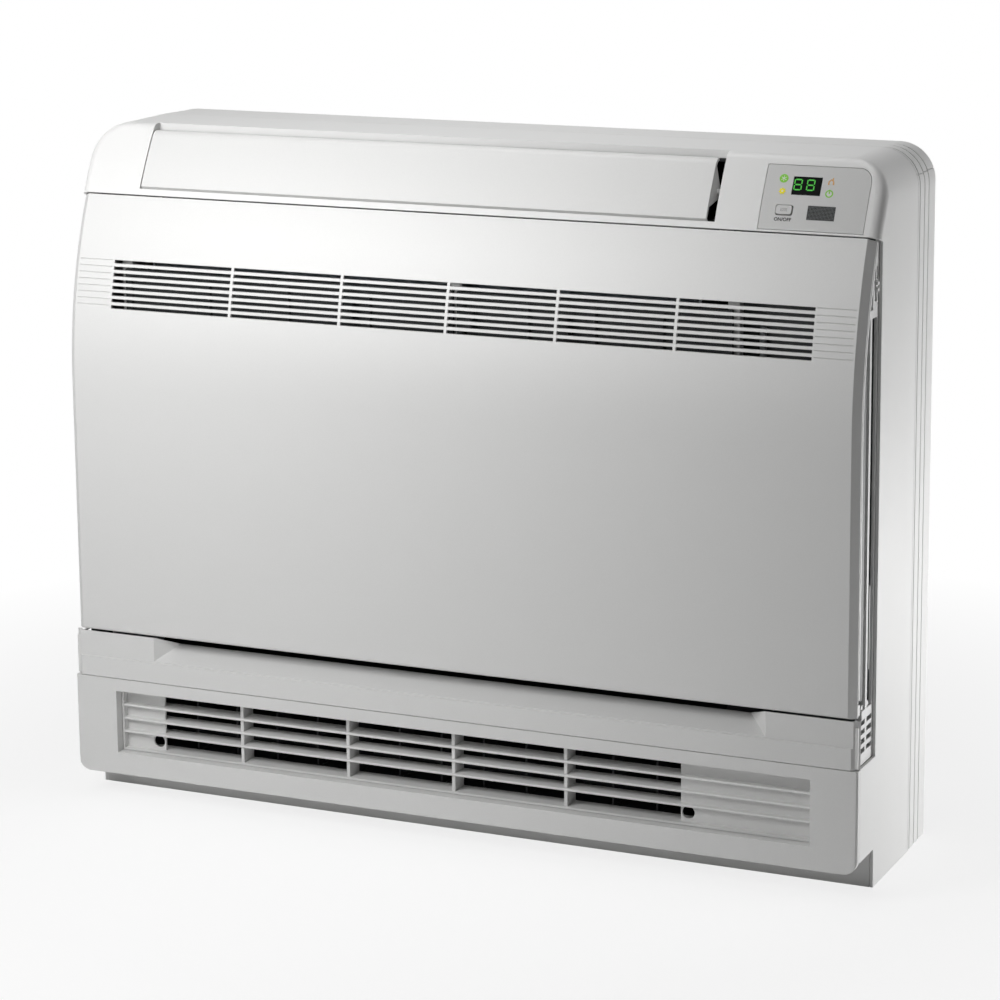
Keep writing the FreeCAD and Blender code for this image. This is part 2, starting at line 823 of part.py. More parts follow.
def make_front_panel():
    body = tray(0.0, panel_rim, panel_bottom, panel_top - panel_top_gap, panel_half, wall, wall)
    foot_cut = box(-panel_half + wall, panel_half - wall, front + panel_foot, back, panel_bottom - 1,
                   panel_bottom + wall)
    body = body.cut(foot_cut)
    sharp = [e for e in body.Edges if abs(e.CenterOfMass.z - panel_bottom) < 0.01
             and e.Length > panel_half
             and abs(e.CenterOfMass.y - front) < 0.01]
    body = body.makeFillet(panel_foot_round, sharp)
    slot_top = height - slot_top_drop
    ends = [-slot_half_span] + list(slot_bars) + [slot_half_span]
    cuts = []
    for row in range(slot_rows):
        high = slot_top - row * slot_pitch
        low = high - slot_height
        for count in range(len(ends) - 1):
            left = ends[count] + (slot_bar_width / 2 if count else 0)
            right = ends[count + 1] - (slot_bar_width / 2 if count < len(ends) - 2 else 0)
            cuts.append(box(left, right, front - 1, front + insert_depth, low, high))
        rib_end = panel_half - edge_bevel - rib_end_margin
        for left, right in ((-rib_end, -slot_half_span - rib_end_margin),
                            (slot_half_span + rib_end_margin, rib_end)):
            cuts.append(band(-1, rib_depth, high - slot_height / 4, high, left, right))
    body = body.cut(cuts)
    inner = panel_half - wall
    pin = rod(hinge_pin_radius, V(inner - hinge_pin_length, hinge_y, hinge_z), X_AXIS,
              hinge_pin_length + wall / 2)
    cheek = box(inner, panel_half, front + panel_rim - 1, front + panel_cheek,
                hinge_z - hinge_ear_radius, hinge_z + hinge_ear_radius)
    return fuse([body, pin, mirrored(pin), cheek, mirrored(cheek)])


# Upper outlet
def pivot_point():
    return turned(pivot_depth, lean(height - pivot_drop))


def make_upper_flap():
    top = height - flap_lip
    skin = band(flap_sunk, flap_sunk + flap_thickness, flap_low, top, flap_left, flap_right)
    reach = curve_radius - flap_sunk
    curl_centre = turned(flap_lip, lean(top))
    curl_outer = flap_lip - flap_sunk
    ring = tube(curl_outer, curl_outer - flap_thickness, V(flap_left, *curl_centre), X_AXIS,
                flap_right - flap_left)
    start = turned(0, lean(top))
    far_out = turned(-wall * 4, lean(top))
    wedge = prism([curl_centre, turned(-wall * 4, lean(top)),
                   (far_out[0], curl_centre[1] + reach / 8), (curl_centre[0] + 1,
                                                              curl_centre[1] + reach / 8)],
                  flap_left, flap_right)
    curl = ring.common(wedge)
    pivot = pivot_point()
    edge = at(flap_sunk + flap_thickness / 2, flap_low)
    first = math.atan2(edge[1] - pivot[1], edge[0] - pivot[0])
    turn = math.radians(flap_flange)
    flange_radius = math.hypot(edge[0] - pivot[0], edge[1] - pivot[1]) + slide_clearance
    sector = [(pivot[0] + 2 * flange_radius * math.cos(first + part * turn),
               pivot[1] + 2 * flange_radius * math.sin(first + part * turn)) for part in (-0.2, 0.4, 1.0)]
    flange = tube(flange_radius, flange_radius - flap_thickness * 0.6, V(flap_left, *pivot), X_AXIS,
                  flap_right - flap_left).common(prism([pivot] + sector, flap_left, flap_right))
    arms = []
    for x in (flap_left, flap_right - arm_width):
        arm = prism([at(flap_sunk + flap_thickness / 2, flap_low + flap_lip),
                     at(flap_sunk + flap_thickness / 2, top),
                     turned(pivot_depth + arm_boss_radius * 0.6,
                            lean(height - pivot_drop + arm_boss_radius)),
                     turned(pivot_depth + arm_boss_radius * 0.6,
                            lean(height - pivot_drop - arm_boss_radius))],
                    x, x + arm_width)
        arms += [arm, rod(arm_boss_radius, V(x, *pivot), X_AXIS, arm_width)]
    left_pin = rod(pivot_radius, V(cheek_left - cheek_wall + slide_clearance, *pivot), X_AXIS,
                   flap_left - cheek_left + cheek_wall)
    right_pin = rod(pivot_radius, V(flap_right - arm_width / 2, *pivot), X_AXIS,
                    cheek_gap + cheek_wall + arm_width / 2 + pivot_radius * 2)
    if start[1] > height:
        raise ValueError("flap reaches above the cabinet top")
    return fuse([skin, curl, flange] + arms + [left_pin, right_pin])


def stepper(radius, length, centre, x, bore):
    body = rod(radius, V(x, *centre), X_AXIS, length)
    ears = box(x, x + wall, centre[0] - radius * 1.5, centre[0] + radius * 1.5,
               centre[1] - radius / 3, centre[1] + radius / 3)
    shell = fuse([body, ears])
    return shell.cut(rod(bore + running_clearance, V(x - 1, *centre), X_AXIS, length * 0.6))


def make_flap_motor():
    pivot = pivot_point()
    body = rod(flap_motor_radius, V(cheek_right + cheek_wall, *pivot), X_AXIS, flap_motor_length)
    return body.cut(rod(pivot_radius + running_clearance, V(cheek_right, *pivot), X_AXIS,
                        flap_motor_length * 0.6))


def face_frame(x, drop, depth_in):
    """Placement on the upper front: local Z points out, local X along the width."""
    angle = lean(height - drop)
    y, z = turned(depth_in, angle)
    turn = FreeCAD.Rotation(X_AXIS, 90 - math.degrees(angle))
    return FreeCAD.Placement(V(x, y, z), turn)


def placed(shape, x, drop, depth_in=0.0):
    copy = shape.copy()
    copy.Placement = face_frame(x, drop, depth_in)
    return copy


def rounded_plate(size_x, size_y, low, high, radius):
    block = box(-size_x / 2, size_x / 2, -size_y / 2, size_y / 2, low, high)
    return block.makeFillet(radius, [e for e in block.Edges
                                     if abs(e.tangentAt(e.FirstParameter).z) > 0.9])


def window_patch(near, far, grow):
    right = half - window_margin
    high = height - window_drop
    return band(near, far, high - window_height - grow, high + grow, right - window_width - grow,
                right + grow)


def receiver_patch(near, far, grow):
    right = half - receiver_margin
    high = height - receiver_drop
    return band(near, far, high - receiver_height - grow, high + grow, right - receiver_width - grow,
                right + grow)


def indicator_rods(radius, low, high):
    spots = [(half - margin, drop) for margin in (indicator_inner_margin, indicator_outer_margin)
             for drop in (indicator_upper_drop, indicator_lower_drop)]
    return [placed(rod(radius, V(0, 0, low), Z_AXIS, high - low), x, drop) for x, drop in spots]


def board_middle():
    return (display_left + half - display_right_margin) / 2, (panel_drop + display_top_drop) / 2


def board_size():
    wide = half - display_right_margin - display_left - display_lip * 2
    tall = panel_drop - display_top_drop - display_lip * 3
    return wide, tall


def make_display_panel():
    plate = display_outline(0.0).common(band(0.1, wall, panel_top, height, display_left - wall, half))
    lip = band(wall - display_gap / 2, wall * 1.6, panel_top + seam + display_low_gap,
               height - top_corner / 2,
               display_left, display_left + display_lip)
    hook = band(wall + display_gap / 4, wall * 1.6, panel_top + seam + display_low_gap,
                height - top_corner / 2,
                display_left - display_lip, display_left + display_lip)
    x, drop = board_middle()
    wide, tall = board_size()
    posts = []
    for side in (-1, 1):
        post = rod(wall, V(side * (wide / 2 - wall * 2), -tall / 2 + wall * 2, -board_depth), Z_AXIS,
                   board_depth - wall / 2)
        posts.append(placed(post, x, drop))
    body = fuse([plate, lip, hook] + posts)
    hole = rounded_plate(button_width + 2 * button_gap, button_height + 2 * button_gap,
                         -wall * 3, wall * 2, button_round)
    cuts = [window_patch(-wall, wall * 2, display_gap / 4),
            receiver_patch(-wall, wall * 2, display_gap / 4),
            placed(hole, button_x, button_drop)]
    cuts += indicator_rods(indicator_radius + running_clearance, -wall * 3, wall)
    return body.cut(cuts)


def make_display_window():
    return window_patch(0.2, wall, 0.0)


def make_receiver_window():
    return receiver_patch(0.3, wall, 0.0)


def make_led_segments():
    centre_x = half - window_margin - window_width / 2 - digit_shift
    centre_drop = window_drop + window_height / 2 - digit_rise
    pieces = []
    gap = digit_stroke * 0.25
    for side in (-1, 1):
        x = centre_x + side * (digit_width + digit_gap) / 2
        x0 = x - digit_width / 2
        x1 = x + digit_width / 2
        for level in (-1, 0, 1):
            z = height - centre_drop + level * (digit_height - digit_stroke) / 2
            pieces.append(band(0.1, 0.2, z - digit_stroke / 2, z + digit_stroke / 2,
                               x0 + digit_stroke + gap, x1 - digit_stroke - gap))
        for start in (x0, x1 - digit_stroke):
            for level in (-1, 1):
                z = height - centre_drop + level * digit_height / 4
                tall = digit_height / 2 - digit_stroke - gap
                pieces.append(band(0.1, 0.2, z - tall / 2, z + tall / 2, start, start + digit_stroke))
    return Part.makeCompound(pieces)


def make_power_button():
    cap = rounded_plate(button_width, button_height, -wall * 2, button_proud, button_round)
    top = [e for e in cap.Edges if abs(e.CenterOfMass.z - button_proud) < 0.01]
    cap = cap.makeFillet(button_proud * 0.6, top)
    stem_end = -board_depth + button_travel + wall * 0.6
    stem = rod(wall * 0.8, V(0, 0, stem_end), Z_AXIS, -wall * 2 - stem_end + 0.5)
    return placed(fuse([cap, stem]), button_x, button_drop)


def make_display_board():
    x, drop = board_middle()
    wide, tall = board_size()
    board = box(-wide / 2, wide / 2, -tall / 2, tall / 2, -board_depth - board_thickness, -board_depth)
    pads = []
    for spot_x, spot_drop in ((button_x, button_drop),):
        pads.append(box(spot_x - x - wall, spot_x - x + wall, drop - spot_drop - wall,
                        drop - spot_drop + wall,
                        -board_depth - board_thickness / 2, -board_depth + wall * 0.3))
    return placed(fuse([board] + pads), x, drop)


# Air path
def make_fan_housing():
    t = duct_wall
    cut_corner = duct_chamfer
    slant = t * math.tan(math.radians(22.5))
    mouth = duct_mouth
    low = duct_floor
    top = duct_top
    rear = duct_back
    lip_front = outlet_back + insert_side_gap
    inner = [(mouth, low), (rear - cut_corner, low), (rear, low + cut_corner), (rear, top - cut_corner),
             (rear - cut_corner, top), (lip_front, top)]
    outer = [(lip_front, top + t), (rear - cut_corner + slant, top + t), (rear + t,
                                                                          top - cut_corner + slant),
             (rear + t, low + cut_corner - slant), (rear - cut_corner + slant, low - t), (mouth,
                                                                                          low - t)]
    channel = prism(inner + outer, duct_left - t, duct_right + t)
    sides = [(mouth, low - t), outer[4], outer[3], outer[2], outer[1], (partition, top + t),
             (partition, partition_low),
             (mouth, partition_low - lower_lip_drop)]
    left = prism(sides, duct_left - t, duct_left)
    right = prism(sides, duct_right, duct_right + t)
    pieces = [channel, left, right]
    rear_face = back - back_plate_inset - back_plate_thickness
    for x in (duct_left + fan_radius / 2, duct_right - fan_radius / 2):
        for z in (fan_axis_height - fan_radius, fan_axis_height + fan_radius):
            pieces.append(rod(wall * 2.4, V(x, rear + t / 2, z), Y_AXIS, rear_face - rear - t / 2))
    body = fuse(pieces)
    holes = [rod(vane_pin_radius + running_clearance, V(x, rear - 1, vane_axis_z), Y_AXIS, back)
             for x in vane_xs()]
    holes += [rod(screw_radius + running_clearance, V(p.x, rear - 1, p.z), Y_AXIS, t + 2)
              for p in motor_screw_points()]
    axis = damper_axis()
    holes.append(rod(damper_pin_radius + running_clearance, V(duct_left - t - 1, *axis), X_AXIS, width))
    return body.cut(holes)


def make_bell_mouth():
    t = duct_wall
    plate = box(duct_left, duct_right, partition, partition + t, partition_low, partition_top)
    lip_low = partition_low - lower_lip_drop
    lower = prism([(partition, partition_low), (duct_mouth, lip_low), (duct_mouth, lip_low - t),
                   (partition + t, partition_low - t / 2), (partition + t, partition_low + t)],
                  duct_left, duct_right)
    upper = prism([(partition, partition_top), (partition - upper_lip_reach,
                                                partition_top + upper_lip_rise),
                   (partition - upper_lip_reach, partition_top + upper_lip_rise + t),
                   (partition + t, partition_top + t / 2), (partition + t, partition_top - t)],
                  flap_left, duct_right)
    eye = V(fan_x, partition, fan_axis_height)
    ring = rod(fan_eye_radius, eye, Y_AXIS, bell_lip_width + t)
    body = fuse([plate, lower, upper, ring])
    return body.cut(rod(fan_eye_radius - t, eye - Y_AXIS, Y_AXIS, depth))


def make_fan_wheel():
    y0 = fan_front
    y1 = y0 + fan_width
    centre = V(fan_x, 0, fan_axis_height)
    shroud_inner = fan_eye_radius + wall * 1.4
    shroud = tube(fan_radius, shroud_inner, centre + Y_AXIS * y0, Y_AXIS, fan_plate)
    plate = rod(fan_radius, centre + Y_AXIS * (y1 - fan_plate), Y_AXIS, fan_plate)
    hub = rod(hub_radius, centre + Y_AXIS * (y1 - hub_length), Y_AXIS, hub_length)
    pieces = [shroud, plate, hub]
    root = fan_eye_radius * 0.72
    bow = fan_radius * 0.08
    for count in range(fan_blades):
        middle = (root + fan_radius) / 2
        outline = []
        for shift in (0.0, fan_plate):
            outline.append([V(root, y0 + fan_plate / 2, shift), V(middle, y0 + fan_plate / 2,
                                                                  bow + shift),
                            V(fan_radius - fan_plate, y0 + fan_plate / 2, -bow + shift)])
        edges = [Part.Arc(*outline[0]).toShape(), Part.Arc(*outline[1]).toShape(),
                 Part.makeLine(outline[0][0], outline[1][0]), Part.makeLine(outline[0][2],
                                                                            outline[1][2])]
        face = Part.Face(Part.Wire(Part.__sortEdges__(edges)))
        blade = face.extrude(V(0, fan_width - fan_plate, 0))
        blade.rotate(V(0, 0, 0), Y_AXIS, 360.0 * count / fan_blades)
        blade.translate(centre)
        pieces.append(blade)
    wheel = fuse(pieces)
    return wheel.cut(rod(shaft_radius, centre + Y_AXIS * (y0 - 1), Y_AXIS, depth))


def make_motor_shaft():
    start = fan_front + fan_width - hub_length - shaft_radius
    return rod(shaft_radius, V(fan_x, start, fan_axis_height), Y_AXIS,
               duct_back - shaft_radius * 1.5 - start)


def motor_screw_points():
    points = []
    for count in range(3):
        angle = math.radians(90 + 120 * count)
        points.append(V(fan_x + motor_screw_circle * math.cos(angle), duct_back - duct_wall,
                        fan_axis_height + motor_screw_circle * math.sin(angle)))
    return points


def make_fan_motor():
    y0 = motor_front
    centre = V(fan_x, 0, fan_axis_height)
    can = rod(motor_radius, centre + Y_AXIS * y0, Y_AXIS, motor_length)
    rim = [e for e in can.Edges if abs(e.CenterOfMass.y - y0) < 0.01 and e.Closed]
    can = can.makeFillet(wall, rim)
    flange = rod(motor_flange_radius, centre + Y_AXIS * (duct_back - duct_wall), Y_AXIS, duct_wall)
    boss = rod(hub_radius * 0.6, centre + Y_AXIS * (y0 - wall), Y_AXIS, wall * 2)
    body = fuse([can, flange, boss])
    bore = rod(shaft_radius + running_clearance, centre + Y_AXIS * (y0 - wall - 1), Y_AXIS,
               duct_back - shaft_radius - y0 + wall + 1)
    holes = [rod(screw_radius + running_clearance, p - Y_AXIS, Y_AXIS, depth)
             for p in motor_screw_points()]
    return body.cut([bore] + holes)


def screw(point, grip):
    head = rod(screw_head_radius, point - Y_AXIS * screw_head, Y_AXIS, screw_head)
    slot = box(point.x - screw_head_radius * 0.7, point.x + screw_head_radius * 0.7,
               point.y - screw_head - 1,
               point.y - screw_head / 2, point.z - 0.4, point.z + 0.4)
    cross = box(point.x - 0.4, point.x + 0.4, point.y - screw_head - 1, point.y - screw_head / 2,
                point.z - screw_head_radius * 0.7, point.z + screw_head_radius * 0.7)
    return fuse([head, rod(screw_radius, point, Y_AXIS, grip)]).cut([slot, cross])


def make_motor_screws():
    return Part.makeCompound([screw(p, duct_wall * 2 + screw_head / 2) for p in motor_screw_points()])


def make_casing_screws():
    rail_front = front + rail_depth - wall
    spots = [V(x, rail_front, casing_screw_z()) for x in casing_screw_xs()]
    return Part.makeCompound([screw(p, wall * 3) for p in spots])


# Upper vanes
def vane_xs():
    return [fan_x + (count - (vane_count - 1) / 2) * vane_pitch for count in range(vane_count)]


def vane_bar_back():
    return partition + duct_wall + vane_bar_depth + vane_bar_depth / 2


def make_vane_bar():
    y1 = vane_bar_back()
    bar = box(duct_left, duct_right, y1 - vane_bar_depth, y1, vane_axis_z - vane_bar_size / 2,
              vane_axis_z + vane_bar_size / 2)
    holes = [rod(vane_pin_radius + running_clearance, V(x, y1 - vane_bar_depth - 1, vane_axis_z),
                 Y_AXIS, vane_bar_depth + 2)
             for x in vane_xs()]
    return bar.cut(holes)


def make_vane(x):
    y0 = vane_bar_back() + vane_end_gap
    y1 = duct_back - vane_end_gap
    blade = box(x - vane_thickness / 2, x + vane_thickness / 2, y0, y1, vane_axis_z - vane_chord / 2,
                vane_axis_z + vane_chord / 2)
    front_pin = rod(vane_pin_radius, V(x, y0 - vane_bar_depth, vane_axis_z), Y_AXIS, vane_bar_depth + 1)
    rear_pin = rod(vane_pin_radius, V(x, y1 - 1, vane_axis_z), Y_AXIS, duct_wall + 1)
    boss = rod(vane_pin_radius * 1.5, V(x, y0, vane_axis_z), Y_AXIS, y1 - y0)
    link_pin = rod(link_pin_radius, V(x, y0 - link_depth - vane_end_gap, vane_axis_z + link_arm),
                   Y_AXIS,
                   link_depth + vane_end_gap + 1)
    pad = rod(link_pin_radius * 1.6, V(x, y0, vane_axis_z + link_arm), Y_AXIS, link_depth)
    return fuse([blade, front_pin, rear_pin, boss, link_pin, pad])


def make_vane_link():
    y1 = vane_bar_back()
    z = vane_axis_z + link_arm
    xs = vane_xs()
    sag = link_arm * (1 - math.cos(math.radians(vane_swing)))
    bar = box(xs[0] - link_height, xs[-1] + link_height, y1 - link_depth, y1, z - link_height / 2,
              z + link_height / 2)
    reach = link_pin_radius + link_play
    slots = [box(x - reach, x + reach, y1 - link_depth - 1, y1 + 1, z - reach - sag, z + reach)
             for x in xs]
    return bar.cut(slots)


# Lower outlet
def damper_axis():
    return front + damper_axis_depth, duct_floor + damper_rise


def make_lower_damper():
    y, z = damper_axis()
    x0 = duct_left + damper_end_gap
    x1 = duct_right - damper_end_gap
    plate = box(x0, x1, y, y + damper_length, z - damper_thickness / 2, z + damper_thickness / 2)
    barrel = rod(damper_barrel, V(x0, y, z), X_AXIS, x1 - x0)
    left = rod(damper_pin_radius, V(duct_left - duct_wall, y, z), X_AXIS,
               damper_end_gap + duct_wall + 1)
    right = rod(damper_pin_radius, V(x1 - 1, y, z), X_AXIS, damper_end_gap + duct_wall * 3 + 1)
    return fuse([plate, barrel, left, right])


def make_damper_motor():
    return stepper(damper_motor_radius, damper_motor_length, damper_axis(), duct_right + duct_wall,
                   damper_pin_radius)


def make_lower_vanes():
    y0 = front + grille_setback + grille_depth + wall * 2.5
    vanes = []
    for count in range(vane_count_low):
        x = fan_x + (count - (vane_count_low - 1) / 2) * vane_pitch_low
        blade = box(x - vane_low_thickness / 2, x + vane_low_thickness / 2, y0, y0 + vane_low_depth,
                    duct_floor, duct_floor + vane_low_height)
        nose = [e for e in blade.Edges if abs(e.tangentAt(e.FirstParameter).x) > 0.9
                and e.CenterOfMass.y < y0 + 0.01
                and e.CenterOfMass.z > duct_floor + 1]
        foot = box(x - vane_low_thickness * 2, x + vane_low_thickness * 2, y0 + wall,
                   y0 + vane_low_depth - wall,
                   duct_floor, duct_floor + vane_low_thickness)
        vanes.append(fuse([blade.makeFillet(vane_low_depth / 3, nose), foot]))
    return Part.makeCompound(vanes)


# Heat exchanger
def tube_points():
    y_front = coil_front + (coil_thickness - coil_column_gap) / 2
    rows = [coil_low + coil_pitch * (count + 0.5) for count in range(coil_rows)]
    return [(y_front + column * coil_column_gap, z) for column in (0, 1) for z in rows]


def make_coil_fins():
    block = box(coil_left, coil_right, coil_front, coil_back, coil_low, coil_top)
    holes = [rod(tube_radius, V(coil_left - 1, y, z), X_AXIS, width) for y, z in tube_points()]
    grooves = []
    x = coil_left + fin_groove_pitch
    while x < coil_right - fin_groove:
        grooves.append(box(x, x + fin_groove, coil_front - 1, coil_front + fin_groove * 2, coil_low,
                           coil_top))
        grooves.append(box(x, x + fin_groove, coil_back - fin_groove * 2, coil_back + 1, coil_low,
                           coil_top))
        x += fin_groove_pitch
    return block.cut(holes).cut(grooves)


def make_coil_tubes():
    return Part.makeCompound([rod(tube_radius, V(plate_left, y, z), X_AXIS, plate_right - plate_left)
                              for y, z in tube_points()])


def bend(x, y0, z0, y1, z1, outward):
    circle = Part.makeCircle(tube_radius, V(x, y0, z0), X_AXIS)
    face = Part.Face(Part.Wire(circle))
    centre = V(x, (y0 + y1) / 2, (z0 + z1) / 2)
    arm = V(0, y1 - y0, z1 - z0)
    axis = V(outward, 0, 0).cross(arm)
    return face.revolve(centre, axis, 180)


def make_return_bends():
    points = tube_points()
    bends = []
    for column in (0, 1):
        rows = points[column * coil_rows:(column + 1) * coil_rows]
        for count in range(coil_rows - 1):
            side = -1 if count % 2 == 0 else 1
            x = plate_left if side < 0 else plate_right
            bends.append(bend(x, *rows[count], *rows[count + 1], side))
    bends.append(bend(plate_right, *points[coil_rows - 1], *points[2 * coil_rows - 1], 1))
    return Part.makeCompound(bends)


def make_coil_end_plates():
    plates = []
    for x in (plate_left, coil_right):
        plate = box(x, x + end_plate, coil_front - end_plate_margin, coil_back + end_plate_margin,
                    pan_low + pan_wall, coil_top + end_plate_margin)
        plates.append(plate.cut([rod(tube_radius, V(x - 1, y, z), X_AXIS, end_plate + 2) for y,
                                 z in tube_points()]))
    return Part.makeCompound(plates)


def pan_front():
    return coil_front - end_plate_margin - pan_wall - seam


def make_drain_pan():
    x0 = plate_left - pan_end_margin
    x1 = plate_right + pan_end_margin
    y0 = pan_front()
    outer = box(x0, x1, y0, partition, pan_low, pan_low + pan_height)
    inner = box(x0 + pan_wall, x1 - pan_wall, y0 + pan_wall, partition - pan_wall, pan_low + pan_wall,
                pan_low + pan_height + 1)
    return outer.cut(inner).cut(rod(drain_bore, V(x1 - pan_wall - 1, drain_y(), drain_z()), X_AXIS,
                                    pan_wall + 2))


def drain_y():
    return coil_front + coil_thickness / 2


def drain_z():
    return pan_low + pan_wall + drain_bore


def pipe_x(turn):
    return plate_right + turn


def pipe(radius, start, turn, end_y):
    """Pipe that leaves along +X, turns once and runs to the back."""
    x = pipe_x(turn)
    corner = V(x - pipe_bend, start.y, start.z)
    leave = V(x, start.y + pipe_bend, start.z)
    shift = pipe_bend * (1 - math.sqrt(0.5))
    middle = V(x - shift, start.y + shift, start.z)
    path = Part.Wire([Part.makeLine(start, corner), Part.Arc(corner, middle, leave).toShape(),
                      Part.makeLine(leave, V(x, end_y, start.z))])
    ring = Part.Wire(Part.makeCircle(radius, start, X_AXIS))
    return path.makePipeShell([ring], True, False)


def pipe_end():
    return back - pipe_end_inset


def make_drain_pipe():
    start = V(plate_right + pan_end_margin, drain_y(), drain_z())
    turn = drain_turn + gas_turn
    return pipe(drain_radius, start, turn, pipe_end()).cut(pipe(drain_bore, start, turn, pipe_end()))


def liquid_start():
    return V(plate_right, *tube_points()[0])


def gas_start():
    return V(plate_right, *tube_points()[coil_rows])


def make_liquid_pipe():
    return pipe(liquid_radius, liquid_start(), liquid_turn, pipe_end() - union_length)


def make_gas_pipe():
    return pipe(gas_radius, gas_start(), gas_turn, pipe_end() - union_length)


def union(radius, x, z):
    start = V(x, pipe_end() - union_length, z)
    nut = union_length * 0.4
    points = []
    for count in range(7):
        angle = math.radians(60 * count)
        points.append(V(x + radius * 1.3 * math.cos(angle), start.y,
                        z + radius * 1.3 * math.sin(angle)))
    hexagon = Part.Face(Part.makePolygon(points)).extrude(Y_AXIS * nut)
    return fuse([hexagon, rod(radius, start, Y_AXIS, union_length)])


# Filters
def make_filter(x0, x1, tab_xs):
    low = panel_bottom + seam + ledge_height
    y0 = front + filter_depth
    y1 = y0 + filter_thickness
    top = filter_top()
    frame = box(x0, x1, y0, y1, low, top)
    wide = (x1 - x0 - filter_rail * (filter_cells_x + 1)) / filter_cells_x
    tall = (top - low - filter_rail * (filter_cells_z + 1)) / filter_cells_z
    cells = []
    for column in range(filter_cells_x):
        for row in range(filter_cells_z):
            x = x0 + filter_rail + column * (wide + filter_rail)
            z = low + filter_rail + row * (tall + filter_rail)
            cells.append(box(x, x + wide, y0 - 1, y1 - filter_mesh, z, z + tall))
    pieces = [frame.cut(cells)]
    for x in tab_xs:
        pieces.append(box(x - filter_tab_width / 2, x + filter_tab_width / 2, y0 - filter_tab_reach,
                          y1 - filter_mesh / 2,
                          top - filter_tab_height * 2, top - filter_tab_height))
    return fuse(pieces)


# Electric box
def box_span():
    box_front = front + box_front_depth
    return half - box_left_margin, half - box_right_margin, box_front, box_front + box_depth


def make_electric_box():
    x0, x1, y0, y1 = box_span()
    low = box_low
    top = height - box_top_drop
    outer = box(x0, x1, y0, y1, low, top)
    inner = box(x0 + box_wall, x1 - box_wall, y0 - 1, y1 - box_wall, low + box_wall, top - box_wall)
    pieces = [outer.cut(inner)]
    middle = (y0 + y1) / 2
    for z in (low + board_margin * 4, top - board_margin * 4):
        pieces.append(box(duct_right + duct_wall, x0 + box_wall / 2, middle - board_margin,
                          middle + board_margin,
                          z, z + box_wall * 2))
    for x in (x0 + box_wall + board_margin * 2, x1 - box_wall - board_margin * 2):
        for z in (low + board_margin * 3, top - board_margin * 3):
            pieces.append(rod(box_wall * 1.5, V(x, y1 - box_wall - board_post, z), Y_AXIS,
                              board_post + box_wall / 2))
    return fuse(pieces)


def make_electric_cover():
    x0, x1, y0, y1 = box_span()
    plate = box(x0, x1, y0 - wall, y0, box_low, height - box_top_drop)
    x, z = switch_spot()
    slot_x = switch_width / 2 + switch_travel + slide_clearance
    slot_z = switch_height / 2 + slide_clearance
    return plate.cut(box(x - slot_x, x + slot_x, y0 - wall - 1, y0 + 1, z - slot_z, z + slot_z))


def switch_spot():
    x0, x1, y0, y1 = box_span()
    return (x0 + x1) / 2, box_low + board_margin * 5


def make_selector_switch():
    x, z = switch_spot()
    y0 = box_span()[2]
    stem = box(x - switch_width / 2, x + switch_width / 2, y0 - wall * 2.4, y0 + slide_clearance + 1,
               z - switch_height / 2, z + switch_height / 2)
    keeper = box(x - switch_width, x + switch_width, y0 + slide_clearance, y0 + slide_clearance + wall,
                 z - switch_height, z + switch_height)
    return fuse([stem, keeper])


def board_front():
    return box_span()[3] - box_wall - board_post - board_thickness


def make_control_board():
    x0, x1, y0, y1 = box_span()
    y = board_front()
    return box(x0 + box_wall + board_margin, x1 - box_wall - board_margin, y, y + board_thickness,
               box_low + box_wall + board_margin, height - box_top_drop - box_wall - board_margin)


def make_board_parts():
    x0, x1, y0, y1 = box_span()
    y = board_front()
    tall = height - box_top_drop - box_low
    middle = (x0 + x1) / 2
    transformer = box(middle - board_margin * 4, middle, y - board_margin * 4, y, box_low + tall * 0.69,
                      box_low + tall * 0.86)
    shapes = [transformer]
    for share in (0.6, 0.71, 0.82):
        start = V(middle + board_margin * 3, y - board_margin * 3, box_low + tall * share)
        shapes.append(rod(tall * 0.035, start, Y_AXIS, board_margin * 3))
    for count in range(4):
        x = x0 + board_margin * (2.5 + 2.6 * count)
        shapes.append(box(x, x + board_margin * 1.5, y - board_margin * 2, y, box_low + tall * 0.41,
                          box_low + tall * 0.51))
    return Part.makeCompound(shapes)


def make_terminal_block():
    x0, x1, y0, y1 = box_span()
    y = board_front()
    left = x0 + board_margin * 2.5
    right = x1 - board_margin * 2.5
    tall = height - box_top_drop - box_low
    low = box_low + tall * 0.15
    high = box_low + tall * 0.25
    body = box(left, right, y - board_margin * 2, y, low, high)
    count = 5
    step = (right - left) / count
    wells = [rod(step * 0.28, V(left + step * (n + 0.5), y - board_margin * 2 - 1, (low + high) / 2),
                 Y_AXIS, board_margin + 1)
             for n in range(count)]
    return body.cut(wells)


def make_room_sensor():
    x0, x1, y0, y1 = box_span()
    x = x0 + board_margin * 3
    z = height - box_top_drop - board_margin * 8
    bulb = rod(sensor_radius, V(x, y0 - wall - sensor_radius, z), Z_AXIS, sensor_length)
    foot = box(x - sensor_radius / 2, x + sensor_radius / 2, y0 - wall - sensor_radius, y0 - wall,
               z + sensor_radius,
               z + sensor_length - sensor_radius)
    return fuse([bulb, foot])


